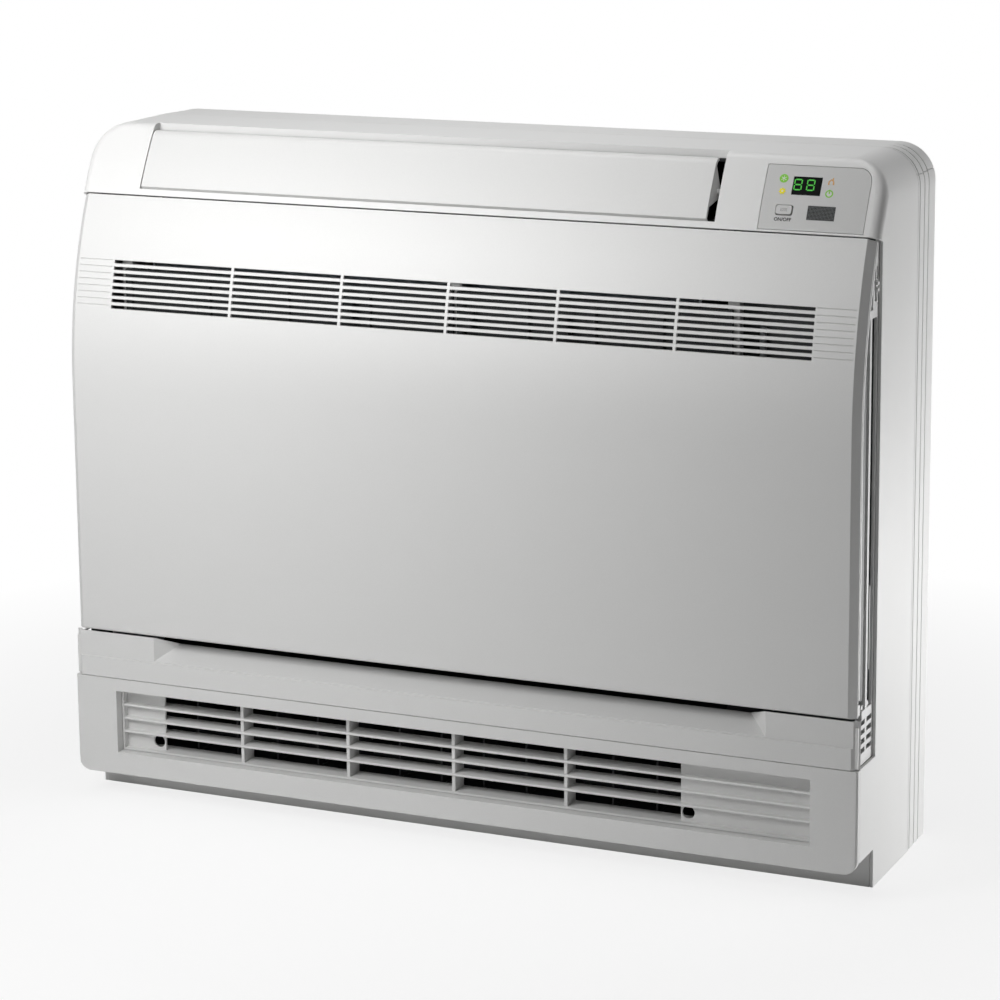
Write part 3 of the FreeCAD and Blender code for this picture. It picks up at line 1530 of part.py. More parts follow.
parts["cabinet_shell"] = make_cabinet_shell()
trim_top, trim_left, trim_right = make_rear_trims()
parts["rear_trim_top"] = trim_top
parts["rear_trim_left"] = trim_left
parts["rear_trim_right"] = trim_right
parts["back_plate"] = make_back_plate()
parts["base_tray"] = make_base_tray()
parts["lower_fascia"] = make_lower_fascia()
parts["lower_grille"] = make_lower_grille()
parts["front_frame"] = make_front_frame()
parts["front_panel"] = make_front_panel()
parts["stopper_right"] = make_stopper()
parts["stopper_left"] = mirrored(parts["stopper_right"])
parts["upper_flap"] = make_upper_flap()
parts["flap_motor"] = make_flap_motor()
parts["display_panel"] = make_display_panel()
parts["display_window"] = make_display_window()
parts["led_segments"] = make_led_segments()
parts["indicator_lights"] = Part.makeCompound(indicator_rods(indicator_radius, -wall, 0.0))
parts["power_button"] = make_power_button()
parts["receiver_window"] = make_receiver_window()
parts["display_board"] = make_display_board()
parts["filter_left"] = make_filter(filter_left_end, -filter_split / 2, (-filter_tab_width,
                                                                        slot_bars[1]))
parts["filter_right"] = make_filter(filter_split / 2, filter_right_end, (filter_tab_width,
                                                                         slot_bars[3]))
parts["side_baffles"] = make_side_baffles()
parts["fan_housing"] = make_fan_housing()
parts["bell_mouth"] = make_bell_mouth()
parts["fan_wheel"] = make_fan_wheel()
parts["motor_shaft"] = make_motor_shaft()
parts["fan_motor"] = make_fan_motor()
parts["motor_screws"] = make_motor_screws()
parts["casing_screws"] = make_casing_screws()
parts["vane_bar"] = make_vane_bar()
for number, vane_x in enumerate(vane_xs()):
    parts["vane_%d" % (number + 1)] = make_vane(vane_x)
parts["vane_link"] = make_vane_link()
parts["lower_damper"] = make_lower_damper()
parts["damper_motor"] = make_damper_motor()
parts["lower_vanes"] = make_lower_vanes()
parts["coil_fins"] = make_coil_fins()
parts["coil_tubes"] = make_coil_tubes()
parts["return_bends"] = make_return_bends()
parts["coil_end_plates"] = make_coil_end_plates()
parts["drain_pan"] = make_drain_pan()
parts["drain_pipe"] = make_drain_pipe()
parts["liquid_pipe"] = make_liquid_pipe()
parts["gas_pipe"] = make_gas_pipe()
parts["liquid_union"] = union(liquid_union_radius, pipe_x(liquid_turn), liquid_start().z)
parts["gas_union"] = union(gas_union_radius, pipe_x(gas_turn), gas_start().z)
parts["electric_box"] = make_electric_box()
parts["electric_cover"] = make_electric_cover()
parts["control_board"] = make_control_board()
parts["board_parts"] = make_board_parts()
parts["terminal_block"] = make_terminal_block()
parts["selector_switch"] = make_selector_switch()
parts["room_sensor"] = make_room_sensor()

os.makedirs("parts", exist_ok=True)
for name, shape in parts.items():
    print(name, len(shape.Solids), shape.isValid(), round(shape.Volume, 1))
    shape.exportStep("parts/%s.step" % name)
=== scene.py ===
import math

import bpy
from mathutils import Matrix, Vector


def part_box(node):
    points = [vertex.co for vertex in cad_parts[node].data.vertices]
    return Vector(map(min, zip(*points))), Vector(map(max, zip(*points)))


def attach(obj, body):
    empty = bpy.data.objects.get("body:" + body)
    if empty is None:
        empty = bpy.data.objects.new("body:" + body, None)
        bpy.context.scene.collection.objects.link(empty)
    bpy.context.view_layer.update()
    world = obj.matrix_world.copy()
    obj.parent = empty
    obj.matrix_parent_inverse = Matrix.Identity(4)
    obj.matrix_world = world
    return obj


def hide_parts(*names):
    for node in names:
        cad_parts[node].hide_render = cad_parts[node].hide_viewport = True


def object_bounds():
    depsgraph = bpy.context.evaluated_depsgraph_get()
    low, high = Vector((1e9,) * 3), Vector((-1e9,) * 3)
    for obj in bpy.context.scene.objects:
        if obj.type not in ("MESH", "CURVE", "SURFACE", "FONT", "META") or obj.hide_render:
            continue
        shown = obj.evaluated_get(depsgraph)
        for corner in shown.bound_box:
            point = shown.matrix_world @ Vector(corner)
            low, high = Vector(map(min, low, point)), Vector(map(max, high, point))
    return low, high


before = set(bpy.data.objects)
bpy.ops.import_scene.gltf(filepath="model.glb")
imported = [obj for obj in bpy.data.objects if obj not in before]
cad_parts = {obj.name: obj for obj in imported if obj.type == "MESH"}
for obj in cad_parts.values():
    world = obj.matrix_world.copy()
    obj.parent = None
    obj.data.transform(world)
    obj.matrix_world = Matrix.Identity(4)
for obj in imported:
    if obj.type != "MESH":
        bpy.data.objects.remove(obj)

bl_info = {
    "name": "Floor console air conditioner",
    "version": (1, 0, 0),
    "blender": (4, 5, 0),
    "location": "View3D > Sidebar > Console",
    "description": "Dresses the packed floor console with its finishes, display details and studio",
    "category": "Object",
}

CAD_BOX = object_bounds()
MM = 0.001

# Places on the curved front: across, down from the cabinet top and out of the surface, in millimetres
LENS_PLACES = {"run": (278.2, 17.6), "heat": (278.7, 27.0), "house": (318.2, 18.4), "power": (318.1, 27.4)}
MARK_PROUD = 0.06
DOTS_PLACE = (282.9, 41.1, 1.0)
LABEL_PLACE = (282.8, 48.3, 0.0)
GRID_PLACE = (314.05, 42.2, -0.25)
DOT_ROWS = 3
DOT_COLUMNS = 6

# Softboxes: place and aim in metres, width and height in metres, watts and spread in degrees
SOFTBOXES = (("key_softbox", (-0.36, -0.74, 0.78), (-0.2, 0.0, 0.4), 0.45, 0.45, 5.9, 180),
             ("side_softbox", (0.95, 0.5, 0.03), (0.36, 0.0, 0.1), 0.4, 0.3, 7.5, 180),
             ("top_softbox", (0.0, -0.05, 1.6), (0.0, 0.0, 0.4), 0.9, 0.35, 0.85, 60))
SOFT_WORLD = 0.05

# Camera fitted to the cabinet's corners: angles in degrees, lengths in millimetres, focal length in pixels
CAMERA_AZIMUTH = 24.185
CAMERA_ELEVATION = 11.788
CAMERA_ROLL = -0.498
CAMERA_TARGET = (9.47, 0.0, 372.60)
CAMERA_DISTANCE = 2829.57
FOCAL_PIXELS = 3300.34
PICTURE_PIXELS = 1000
SENSOR_WIDTH = 36
CAMERA_SHIFT = -0.1


def linear(code):
    """Turns an sRGB hex code into linear red, green and blue."""
    channels = [int(code[i:i + 2], 16) / 255 for i in (0, 2, 4)]
    return [c / 12.92 if c <= 0.04045 else ((c + 0.055) / 1.055) ** 2.4 for c in channels]


def colour(label, code, about):
    return bpy.props.FloatVectorProperty(name=label, description=about, default=linear(code), subtype="COLOR",
                                         min=0.0, max=1.0)


def length(label, millimetres, about):
    return bpy.props.FloatProperty(name=label, description=about, default=millimetres * MM, unit="LENGTH")


class ConsoleSizes(bpy.types.PropertyGroup):
    """Sizes of the small pieces that are modelled on the console."""
    curve_radius: length("Front curve", 390, "Radius of the arc that the upper front follows")
    curve_drop: length("Curve drop", 219, "Height of the arc, down from the cabinet top")
    icon_size: length("Icon", 6.2, "Width of one lamp icon")
    icon_stroke: length("Icon stroke", 1.0, "Line width of an icon")
    icon_proud: length("Icon height", 0.12, "How far an icon stands out of the display plate")
    dot_pitch: length("Grip dot pitch", 1.0, "Spacing of the dots on the button")
    dot_radius: length("Grip dot", 0.28, "Radius of a dot on the button")
    label_height: length("Label", 4.0, "Size of the letters under the button")
    grid_wide: length("Receiver width", 23.1, "Width of the receiver window")
    grid_tall: length("Receiver height", 11.8, "Height of the receiver window along the curve")
    grid_pitch: length("Receiver grid", 1.15, "Spacing of the bars over the receiver window")
    grid_bar: length("Receiver bar", 0.36, "Width of a bar over the receiver window")
    fin_pitch: length("Fin pitch", 2.0, "Spacing of the heat exchanger's fins")
    fin_sheet: length("Fin sheet", 0.25, "Thickness of one fin")
    mesh_pitch: length("Filter mesh", 2.4, "Spacing of the filter's threads, coarser than real to show")


class ConsoleFinishes(bpy.types.PropertyGroup):
    """Colours of the console's finishes."""
    silver: colour("Silver-white paint", "DCDCDB", "Satin paint of the front panel and fascia")
    white: colour("White moulding", "E6E6E5", "Moulded cabinet shell and rear trim")
    plate: colour("Display plate", "CACAC9", "Painted plate round the display")
    # The plinth colour is pale grey lightened past the white moulding: painted light for the floor's bounce
    # into the shade under the fascia
    plinth: colour("Plinth", "ECECEB", "Moulded base")
    black: colour("Duct black", "17181A", "Moulded ducts, vanes and drain pan")
    smoked: colour("Smoked window", "0C100E", "Acrylic over the digits")
    digit: colour("Digit light", "4CC044", "Lit segments of the display")
    lamp_green: colour("Green lamp", "7CBF3C", "Run and power lamps")
    lamp_yellow: colour("Yellow lamp", "DDD21E", "Heating lamp")
    lamp_orange: colour("Orange lamp", "C89A5C", "Timer lamp")
    print_grey: colour("Print", "2E2F30", "Printed letters")
    filter_grey: colour("Filter", "2E3234", "Filter frame and mesh")
    copper: colour("Copper", "C98A6B", "Drawn copper tube")
    board: colour("Board", "17603A", "Solder mask of the boards")


# Materials
def add(tree, kind, links=None, **settings):
    """Adds one shader node with its settings and the sockets linked into it."""
    node = tree.nodes.new(kind)
    for key, value in settings.items():
        if key in node.bl_rna.properties:
            setattr(node, key, value)
        else:
            node.inputs[key.replace("_", " ")].default_value = value
    for key, socket in (links or {}).items():
        tree.links.new(socket, node.inputs[key])
    return node


def surface(name, base, **sockets):
    """Starts a material from one Principled shader and returns it with its tree and shader."""
    material = bpy.data.materials.new(name)
    material.use_nodes = True
    tree = material.node_tree
    tree.nodes.clear()
    shader = add(tree, "ShaderNodeBsdfPrincipled", Base_Color=(*base, 1.0), **sockets)
    add(tree, "ShaderNodeOutputMaterial", {"Surface": shader.outputs["BSDF"]})
    material.diffuse_color = (*base, 1.0)
    return material, tree, shader


def grain(tree, shader, size_mm, depth_mm, soft_edge_mm=0.0):
    """Gives a shader a fine bump of a real grain size, over edges that are softened a little."""
    place = add(tree, "ShaderNodeTexCoord")
    noise = add(tree, "ShaderNodeTexNoise", {"Vector": place.outputs["Object"]}, Scale=1000 / size_mm,
                Detail=2.0)
    bump = add(tree, "ShaderNodeBump", {"Height": noise.outputs["Fac"]}, Strength=1.0, Distance=depth_mm * MM)
    if soft_edge_mm:
        edge = add(tree, "ShaderNodeBevel", Radius=soft_edge_mm * MM, samples=4)
        tree.links.new(edge.outputs["Normal"], bump.inputs["Normal"])
    tree.links.new(bump.outputs["Normal"], shader.inputs["Normal"])
    return place


def mottle(tree, shader, place, base, size_mm, amount):
    """Varies a shader's colour slightly in soft patches of a real size."""
    noise = add(tree, "ShaderNodeTexNoise", {"Vector": place.outputs["Object"]}, Scale=1000 / size_mm,
                Detail=3.0)
    ramp = add(tree, "ShaderNodeValToRGB", {"Fac": noise.outputs["Fac"]})
    ramp.color_ramp.elements[0].color = (*[c * (1 - amount) for c in base], 1.0)
    ramp.color_ramp.elements[1].color = (*[min(1.0, c * (1 + amount)) for c in base], 1.0)
    tree.links.new(ramp.outputs["Color"], shader.inputs["Base Color"])


def silver_paint(finish):
    """Satin silver-white paint on ABS: fine flake, so it greys as it turns from the light."""
    material, tree, shader = surface("silver_paint_on_abs", finish.silver, Metallic=0.05, Roughness=0.48,
                                     IOR=1.45)
    place = grain(tree, shader, 0.9, 0.004, 0.7)
    mottle(tree, shader, place, finish.silver, 1.2, 0.025)
    return material


def white_abs(finish):
    """Moulded ABS with a fine spark texture: even white with a soft broad highlight."""
    material, tree, shader = surface("white_moulded_abs", finish.white, Roughness=0.42, IOR=1.52)
    place = grain(tree, shader, 0.8, 0.012, 0.35)
    mottle(tree, shader, place, finish.white, 40.0, 0.012)
    return material


def plate_paint(finish):
    """Silver paint on the display plate, a little darker than the panel."""
    material, tree, shader = surface("display_plate_silver_paint", finish.plate, Metallic=0.05, Roughness=0.4,
                                     IOR=1.45)
    place = grain(tree, shader, 0.7, 0.004, 0.4)
    mottle(tree, shader, place, finish.plate, 1.0, 0.03)
    return material


def plinth_with_painted_bounce(finish):
    """Moulded polypropylene base: plain pale grey, duller than the cabinet, with its colour lightened past
    the cabinet's white as painted light for the floor's bounce into the shade under the fascia.
    """
    material, tree, shader = surface("pale_polypropylene_with_painted_bounce", finish.plinth, Roughness=0.55, IOR=1.49)
    place = grain(tree, shader, 1.1, 0.02, 0.6)
    mottle(tree, shader, place, finish.plinth, 60.0, 0.02)
    return material


def duct_plastic(finish):
    """Black moulded polystyrene: matte and slightly uneven."""
    material, tree, shader = surface("black_moulded_polystyrene", finish.black, Roughness=0.6, IOR=1.55)
    place = grain(tree, shader, 1.4, 0.03)
    mottle(tree, shader, place, finish.black, 25.0, 0.2)
    return material


def fan_plastic():
    """Glass-filled fan resin: pale grey with soft flow patches."""
    base = linear("A6AAAD")
    material, tree, shader = surface("glass_filled_fan_resin", base, Roughness=0.5, IOR=1.55)
    place = grain(tree, shader, 1.8, 0.03)
    mottle(tree, shader, place, base, 12.0, 0.06)
    return material


def filter_net(finish):
    """Woven polypropylene net: crossed threads seen as a fine grid of bars and holes."""
    sizes = bpy.context.scene.console_sizes
    material, tree, shader = surface("woven_filter_polypropylene", finish.filter_grey, Roughness=0.6,
                                     IOR=1.49)
    place = add(tree, "ShaderNodeTexCoord")
    waves = []
    for direction in ("X", "Z"):
        waves.append(add(tree, "ShaderNodeTexWave", {"Vector": place.outputs["Object"]},
                         bands_direction=direction, Scale=math.pi / (10 * sizes.mesh_pitch), Distortion=0.0))
    both = add(tree, "ShaderNodeMath", {0: waves[0].outputs["Fac"], 1: waves[1].outputs["Fac"]},
               operation="MAXIMUM")
    ramp = add(tree, "ShaderNodeValToRGB", {"Fac": both.outputs["Value"]})
    ramp.color_ramp.elements[0].position = 0.55
    ramp.color_ramp.elements[1].position = 0.8
    ramp.color_ramp.elements[0].color = (*[c * 0.3 for c in finish.filter_grey], 1.0)
    ramp.color_ramp.elements[1].color = (*finish.filter_grey, 1.0)
    bump = add(tree, "ShaderNodeBump", {"Height": both.outputs["Value"]}, Strength=0.8, Distance=0.3 * MM)
    tree.links.new(ramp.outputs["Color"], shader.inputs["Base Color"])
    tree.links.new(bump.outputs["Normal"], shader.inputs["Normal"])
    return material


def smoked_acrylic(finish):
    """Smoked acrylic window with an anti-glare coat: near black, weak gloss and faint moulding ripple."""
    material, tree, shader = surface("smoked_acrylic", finish.smoked, Roughness=0.15, IOR=1.49,
                                     Specular_IOR_Level=0.08)
    grain(tree, shader, 6.0, 0.01)
    return material


def lit_segments(finish):
    """Light-pipe resin lit from behind: even weak glow with a fine grain."""
    material, tree, shader = surface("lit_segment_resin", finish.digit, Roughness=0.4, Emission_Strength=0.25)
    shader.inputs["Emission Color"].default_value = (*finish.digit, 1.0)
    grain(tree, shader, 0.5, 0.005)
    return material


def lamp_ink(name, tint, glow):
    """Translucent ink over a small lamp: clean colour with a weak glow and the print's fine grain."""
    material, tree, shader = surface(name, tint, Roughness=0.35, Emission_Strength=glow)
    shader.inputs["Emission Color"].default_value = (*tint, 1.0)
    grain(tree, shader, 0.4, 0.004)
    return material


def printed_ink(finish):
    """Pad-printed dark ink: flat, with slightly uneven cover."""
    material, tree, shader = surface("pad_printed_ink", finish.print_grey, Roughness=0.55)
    place = grain(tree, shader, 0.3, 0.003)
    mottle(tree, shader, place, finish.print_grey, 0.6, 0.15)
    return material


def zinc_sheet():
    """Galvanised sheet steel: grey spangle of crystals a few millimetres wide."""
    base = linear("969A9D")
    material, tree, shader = surface("galvanised_sheet_steel", base, Metallic=1.0)
    place = add(tree, "ShaderNodeTexCoord")
    cells = add(tree, "ShaderNodeTexVoronoi", {"Vector": place.outputs["Object"]}, Scale=1000 / 5.0)
    ramp = add(tree, "ShaderNodeValToRGB", {"Fac": cells.outputs["Color"]})
    ramp.color_ramp.elements[0].color = (*linear("8C9093"), 1.0)
    ramp.color_ramp.elements[1].color = (*linear("9EA2A4"), 1.0)
    tree.links.new(ramp.outputs["Color"], shader.inputs["Base Color"])
    spread = add(tree, "ShaderNodeMapRange", {"Value": cells.outputs["Distance"]}, To_Min=0.54, To_Max=0.64)
    tree.links.new(spread.outputs["Result"], shader.inputs["Roughness"])
    return material


def fin_foil():
    """Pressed aluminium fin stock with a blue-grey hydrophilic coat and fine rolling lines."""
    base = linear("C3CBD2")
    material, tree, shader = surface("coated_fin_aluminium", base, Metallic=0.9, Roughness=0.38)
    place = add(tree, "ShaderNodeTexCoord")
    stretch = add(tree, "ShaderNodeMapping", {"Vector": place.outputs["Object"]}, Scale=(1.0, 1.0, 0.05))
    noise = add(tree, "ShaderNodeTexNoise", {"Vector": stretch.outputs["Vector"]}, Scale=1000 / 0.8,
                Detail=2.0)
    bump = add(tree, "ShaderNodeBump", {"Height": noise.outputs["Fac"]}, Strength=0.6, Distance=0.02 * MM)
    tree.links.new(bump.outputs["Normal"], shader.inputs["Normal"])
    mottle(tree, shader, place, base, 9.0, 0.05)
    return material


def drawn_metal(name, base, roughness, size_mm):
    """Drawn or turned bare metal: drawing lines as fine bump and patches of light tarnish."""
    material, tree, shader = surface(name, base, Metallic=1.0, Roughness=roughness)
    place = grain(tree, shader, size_mm, 0.01)
    mottle(tree, shader, place, base, 14.0, 0.12)
    return material


def solder_mask(finish):
    """Green solder mask over copper traces, seen as straight lighter lines in the lacquer."""
    material, tree, shader = surface("solder_mask_laminate", finish.board, Roughness=0.3, IOR=1.5)
    place = add(tree, "ShaderNodeTexCoord")
    bricks = add(tree, "ShaderNodeTexBrick", {"Vector": place.outputs["Object"]}, Scale=1000 / 9.0,
                 Color1=(*finish.board, 1.0), Color2=(*[c * 0.8 for c in finish.board], 1.0),
                 Mortar=(*[min(1.0, c * 1.7) for c in finish.board], 1.0), Mortar_Size=0.03)
    tree.links.new(bricks.outputs["Color"], shader.inputs["Base Color"])
    bump = add(tree, "ShaderNodeBump", {"Height": bricks.outputs["Fac"]}, Strength=0.5, Distance=0.05 * MM)
    tree.links.new(bump.outputs["Normal"], shader.inputs["Normal"])
    return material


def moulded_resin(name, code, size_mm):
    """Moulded electrical resin: dull, with a pebbled skin."""
    material, tree, shader = surface(name, linear(code), Roughness=0.5, IOR=1.55)
    place = grain(tree, shader, size_mm, 0.03)
    mottle(tree, shader, place, linear(code), 10.0, 0.06)
    return material


def seen_rays(tree):
    """Returns a socket that is 1 for rays from the camera, a mirror or glass, and 0 for scattered light."""
    path = add(tree, "ShaderNodeLightPath")
    seen = add(tree, "ShaderNodeMath", {0: path.outputs["Is Camera Ray"], 1: path.outputs["Is Glossy Ray"]},
               operation="MAXIMUM")
    also = add(tree, "ShaderNodeMath", {0: seen.outputs["Value"], 1: path.outputs["Is Transmission Ray"]},
               operation="MAXIMUM")
    return also.outputs["Value"]


# Modelling helpers
def clear_selection():
    if bpy.context.object and bpy.context.object.mode != "OBJECT":
        bpy.ops.object.mode_set(mode="OBJECT")
    bpy.ops.object.select_all(action="DESELECT")


def dress(material, *names):
    """Puts one material on CAD nodes."""
    for name in names:
        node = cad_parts[name]
        if not node.material_slots:
            node.data.materials.append(material)
        for slot in node.material_slots:
            slot.material = material


def on_front(x_mm, drop_mm, proud_mm):
    """Place on the curved upper front: its point and the turn that lays a flat piece on it."""
    sizes = bpy.context.scene.console_sizes
    top = CAD_BOX[1][2]
    start = top - sizes.curve_drop
    angle = math.asin((top - drop_mm * MM - start) / sizes.curve_radius)
    reach = sizes.curve_radius + proud_mm * MM
    y = CAD_BOX[0][1] + sizes.curve_radius - reach * math.cos(angle)
    z = start + reach * math.sin(angle)
    return Vector((x_mm * MM, y, z)), math.pi / 2 - angle


def settle(piece, name, place, turn):
    """Moves a piece modelled flat at the origin to its place and applies that to its mesh."""
    piece.name = name
    piece.data.name = name
    clear_selection()
    piece.select_set(True)
    bpy.context.view_layer.objects.active = piece
    piece.location = place
    piece.rotation_euler = (turn, 0, 0)
    bpy.ops.object.transform_apply(location=True, rotation=True, scale=True)


def select_faces(piece, test):
    """Selects, in edit mode, the faces whose centre and normal pass a test."""
    bpy.ops.object.mode_set(mode="EDIT")
    bpy.ops.mesh.select_mode(type="FACE")
    bpy.ops.mesh.select_all(action="DESELECT")
    bpy.ops.object.mode_set(mode="OBJECT")
    for face in piece.data.polygons:
        face.select = test(face.center, face.normal)
    bpy.ops.object.mode_set(mode="EDIT")


def join(pieces):
    clear_selection()
    for piece in pieces:
        piece.select_set(True)
    bpy.context.view_layer.objects.active = pieces[0]
    bpy.ops.object.join()
    return pieces[0]


def finish_piece(piece, material, body):
    piece.data.materials.clear()
    piece.data.materials.append(material)
    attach(piece, body)


def disc(radius, thickness, sides=24):
    """Flat round piece with a bevelled rim, modelled on the origin."""
    clear_selection()
    bpy.ops.mesh.primitive_cylinder_add(vertices=sides, radius=radius, depth=thickness * 2)
    piece = bpy.context.object
    select_faces(piece, lambda centre, normal: normal.z > 0.9)
    bpy.ops.mesh.bevel(offset=thickness * 0.4, segments=2, affect="EDGES")
    bpy.ops.object.mode_set(mode="OBJECT")
    return piece


def stroke(width, tall, thickness, centre=(0, 0), turn=0.0):
    """Flat bar with a bevelled face, modelled on the origin."""
    clear_selection()
    bpy.ops.mesh.primitive_cube_add(size=1, location=(*centre, 0), rotation=(0, 0, turn),
                                    scale=(width, tall, thickness * 2))
    piece = bpy.context.object
    bpy.ops.object.transform_apply(location=True, rotation=True, scale=True)
    select_faces(piece, lambda centre, normal: normal.z > 0.9)
    bpy.ops.mesh.bevel(offset=thickness * 0.4, segments=2, affect="EDGES")
    bpy.ops.object.mode_set(mode="OBJECT")
    return piece


def star(points, outer, inner, thickness):
    """Flat star: every second corner of a filled ring is drawn in, then the sheet is thickened."""
    clear_selection()
    bpy.ops.mesh.primitive_circle_add(vertices=points * 2, radius=outer, fill_type="NGON")
    piece = bpy.context.object
    for corner in list(piece.data.vertices)[1::2]:
        corner.co *= inner / outer
    body = piece.modifiers.new("body", "SOLIDIFY")
    body.thickness = thickness * 2
    body.offset = 0.0
    bpy.ops.object.modifier_apply(modifier="body")
    return piece


def arc_ring(radius, width, thickness, sweep):
    """Flat ring or open arc made by spinning a small square section."""
    clear_selection()
    bpy.ops.mesh.primitive_plane_add(size=1, rotation=(math.pi / 2, 0, 0), location=(radius, 0, 0))
    piece = bpy.context.object
    piece.scale = (width, thickness * 2, 1)
    bpy.ops.object.transform_apply(location=True, rotation=True, scale=True)
    bpy.ops.object.mode_set(mode="EDIT")
    bpy.ops.mesh.select_all(action="SELECT")
    bpy.ops.mesh.spin(steps=28, angle=sweep, center=(0, 0, 0), axis=(0, 0, 1))
    bpy.ops.mesh.select_all(action="SELECT")
    bpy.ops.mesh.remove_doubles(threshold=0.00001)
    bpy.ops.mesh.normals_make_consistent(inside=False)
    bpy.ops.object.mode_set(mode="OBJECT")
    return piece


# Operators
class CONSOLE_OT_casing(bpy.types.Operator):
    """Finishes the cabinet shell, rear trim, base and back plate"""
    bl_idname = "console.casing"
    bl_label = "Casing"

    def execute(self, context):
        finish = context.scene.console_finishes
        dress(white_abs(finish), "cabinet_shell", "rear_trim_top", "rear_trim_left", "rear_trim_right",
              "stopper_left", "stopper_right")
        dress(plinth_with_painted_bounce(finish), "base_tray", "drain_pipe")
        dress(zinc_sheet(), "back_plate", "flap_motor", "damper_motor", "coil_end_plates", "electric_box")
        dress(moulded_resin("dark_grey_cover_resin", "3A3C3D", 1.5), "electric_cover")
        dress(moulded_resin("grey_foam_baffle", "6C6E6E", 2.5), "side_baffles")
        return {"FINISHED"}


class CONSOLE_OT_front(bpy.types.Operator):
    """Finishes the front panel, the frame behind it, the lower fascia, its grille and the flap"""
    bl_idname = "console.front"
    bl_label = "Front"

    def execute(self, context):
        finish = context.scene.console_finishes
        dress(silver_paint(finish), "front_panel", "front_frame", "lower_fascia", "lower_grille",
              "upper_flap")
        return {"FINISHED"}


class CONSOLE_OT_display(bpy.types.Operator):
    """Finishes the display plate and models its icons, button dots, label and receiver grid"""
    bl_idname = "console.display"
    bl_label = "Display"

    def execute(self, context):
        finish = context.scene.console_finishes
        sizes = context.scene.console_sizes
        dress(plate_paint(finish), "display_panel", "power_button")
        dress(smoked_acrylic(finish), "display_window", "receiver_window")
        dress(lit_segments(finish), "led_segments")
        dress(moulded_resin("frosted_lens_polycarbonate", "CDCDCC", 0.8), "indicator_lights")
        dress(solder_mask(finish), "display_board", "control_board")
        self.icons(finish, sizes)
        ink = printed_ink(finish)
        self.dots(ink, sizes)
        self.label(ink, sizes)
        self.grid(sizes)
        return {"FINISHED"}

    def icons(self, finish, sizes):
        """Four lamp icons that stand for the plain lamp lenses."""
        size = sizes.icon_size
        thick = sizes.icon_proud
        line = sizes.icon_stroke
        pale = lamp_ink("pale_translucent_ink", finish.plate, 0.2)
        run = disc(size * 0.6, thick)
        flake = join([stroke(line * 0.45, size * 0.8, thick, turn=math.pi * n / 3) for n in range(3)])
        sun = star(7, size * 0.52, size * 0.34, thick)
        eye = disc(size * 0.13, thick)
        roof = [stroke(line, size * 0.52, thick, (side * size * 0.17, size * 0.12), side * math.radians(42))
                for side in (-1, 1)]
        legs = [stroke(line * 1.2, size * 0.36, thick, (side * size * 0.32, -size * 0.26))
                for side in (-1, 1)]
        house = join(roof + legs + [stroke(line * 0.9, size * 0.4, thick, (size * 0.2, size * 0.34))])
        power = join([arc_ring(size * 0.45, line, thick, math.tau),
                      stroke(line, size * 0.34, thick, (0, size * 0.16)),
                      stroke(line * 1.2, line * 1.2, thick, (0, size * 0.5), math.pi / 4)])
        green = lamp_ink("green_translucent_ink", finish.lamp_green, 0.1)
        yellow = lamp_ink("yellow_translucent_ink", finish.lamp_yellow, 0.15)
        amber = lamp_ink("amber_translucent_ink", finish.lamp_orange, 0.1)
        spots = (("run_icon", run, green, "run", 0.0), ("run_flake", flake, pale, "run", MARK_PROUD),
                 ("heat_icon", sun, yellow, "heat", 0.0), ("heat_eye", eye, pale, "heat", MARK_PROUD),
                 ("house_icon", house, amber, "house", 0.0), ("power_icon", power, green, "power", 0.0))
        for name, piece, ink, lens, proud in spots:
            place, turn = on_front(*LENS_PLACES[lens], proud)
            settle(piece, name, place, turn)
            finish_piece(piece, ink, "cabinet")

    def dots(self, ink, sizes):
        """Rows of small dots on the button face."""
        pitch = sizes.dot_pitch
        dots = []
        for row in range(DOT_ROWS):
            for column in range(DOT_COLUMNS):
                dot = disc(sizes.dot_radius, 0.05 * MM, 10)
                x = (column - (DOT_COLUMNS - 1) / 2) * pitch
                y = (row - (DOT_ROWS - 1) / 2) * pitch
                dot.location = (x, y, 0)
                bpy.ops.object.transform_apply(location=True, rotation=True, scale=True)
                dots.append(dot)
        piece = join(dots)
        place, turn = on_front(*DOTS_PLACE)
        settle(piece, "button_dots", place, turn)
        finish_piece(piece, ink, "button")

    def label(self, ink, sizes):
        """Plain letters printed under the button."""
        clear_selection()
        bpy.ops.object.text_add()
        words = bpy.context.object
        words.data.body = "ON/OFF"
        words.data.size = sizes.label_height
        words.data.align_x = "CENTER"
        words.data.align_y = "CENTER"
        words.data.extrude = 0.1 * MM
        words.data.offset = 0.08 * MM
        bpy.ops.object.convert(target="MESH")
        piece = bpy.context.object
        place, turn = on_front(*LABEL_PLACE)
        settle(piece, "button_label", place, turn)
        finish_piece(piece, ink, "cabinet")

    def grid(self, sizes):
        """Fine bars across the receiver window."""
        bars = []
        columns = round(sizes.grid_wide / sizes.grid_pitch)
        rows = round(sizes.grid_tall / sizes.grid_pitch)
        for n in range(columns + 1):
            x = (n / columns - 0.5) * (sizes.grid_wide - sizes.grid_bar)
            bars.append(stroke(sizes.grid_bar, sizes.grid_tall, 0.25 * MM, (x, 0)))
        for n in range(rows + 1):
            y = (n / rows - 0.5) * (sizes.grid_tall - sizes.grid_bar)
            bars.append(stroke(sizes.grid_wide, sizes.grid_bar, 0.2 * MM, (0, y)))
        piece = join(bars)
        place, turn = on_front(*GRID_PLACE)
        settle(piece, "receiver_grid", place, turn)
        finish_piece(piece, moulded_resin("receiver_grid_resin", "5E6060", 1.0), "cabinet")


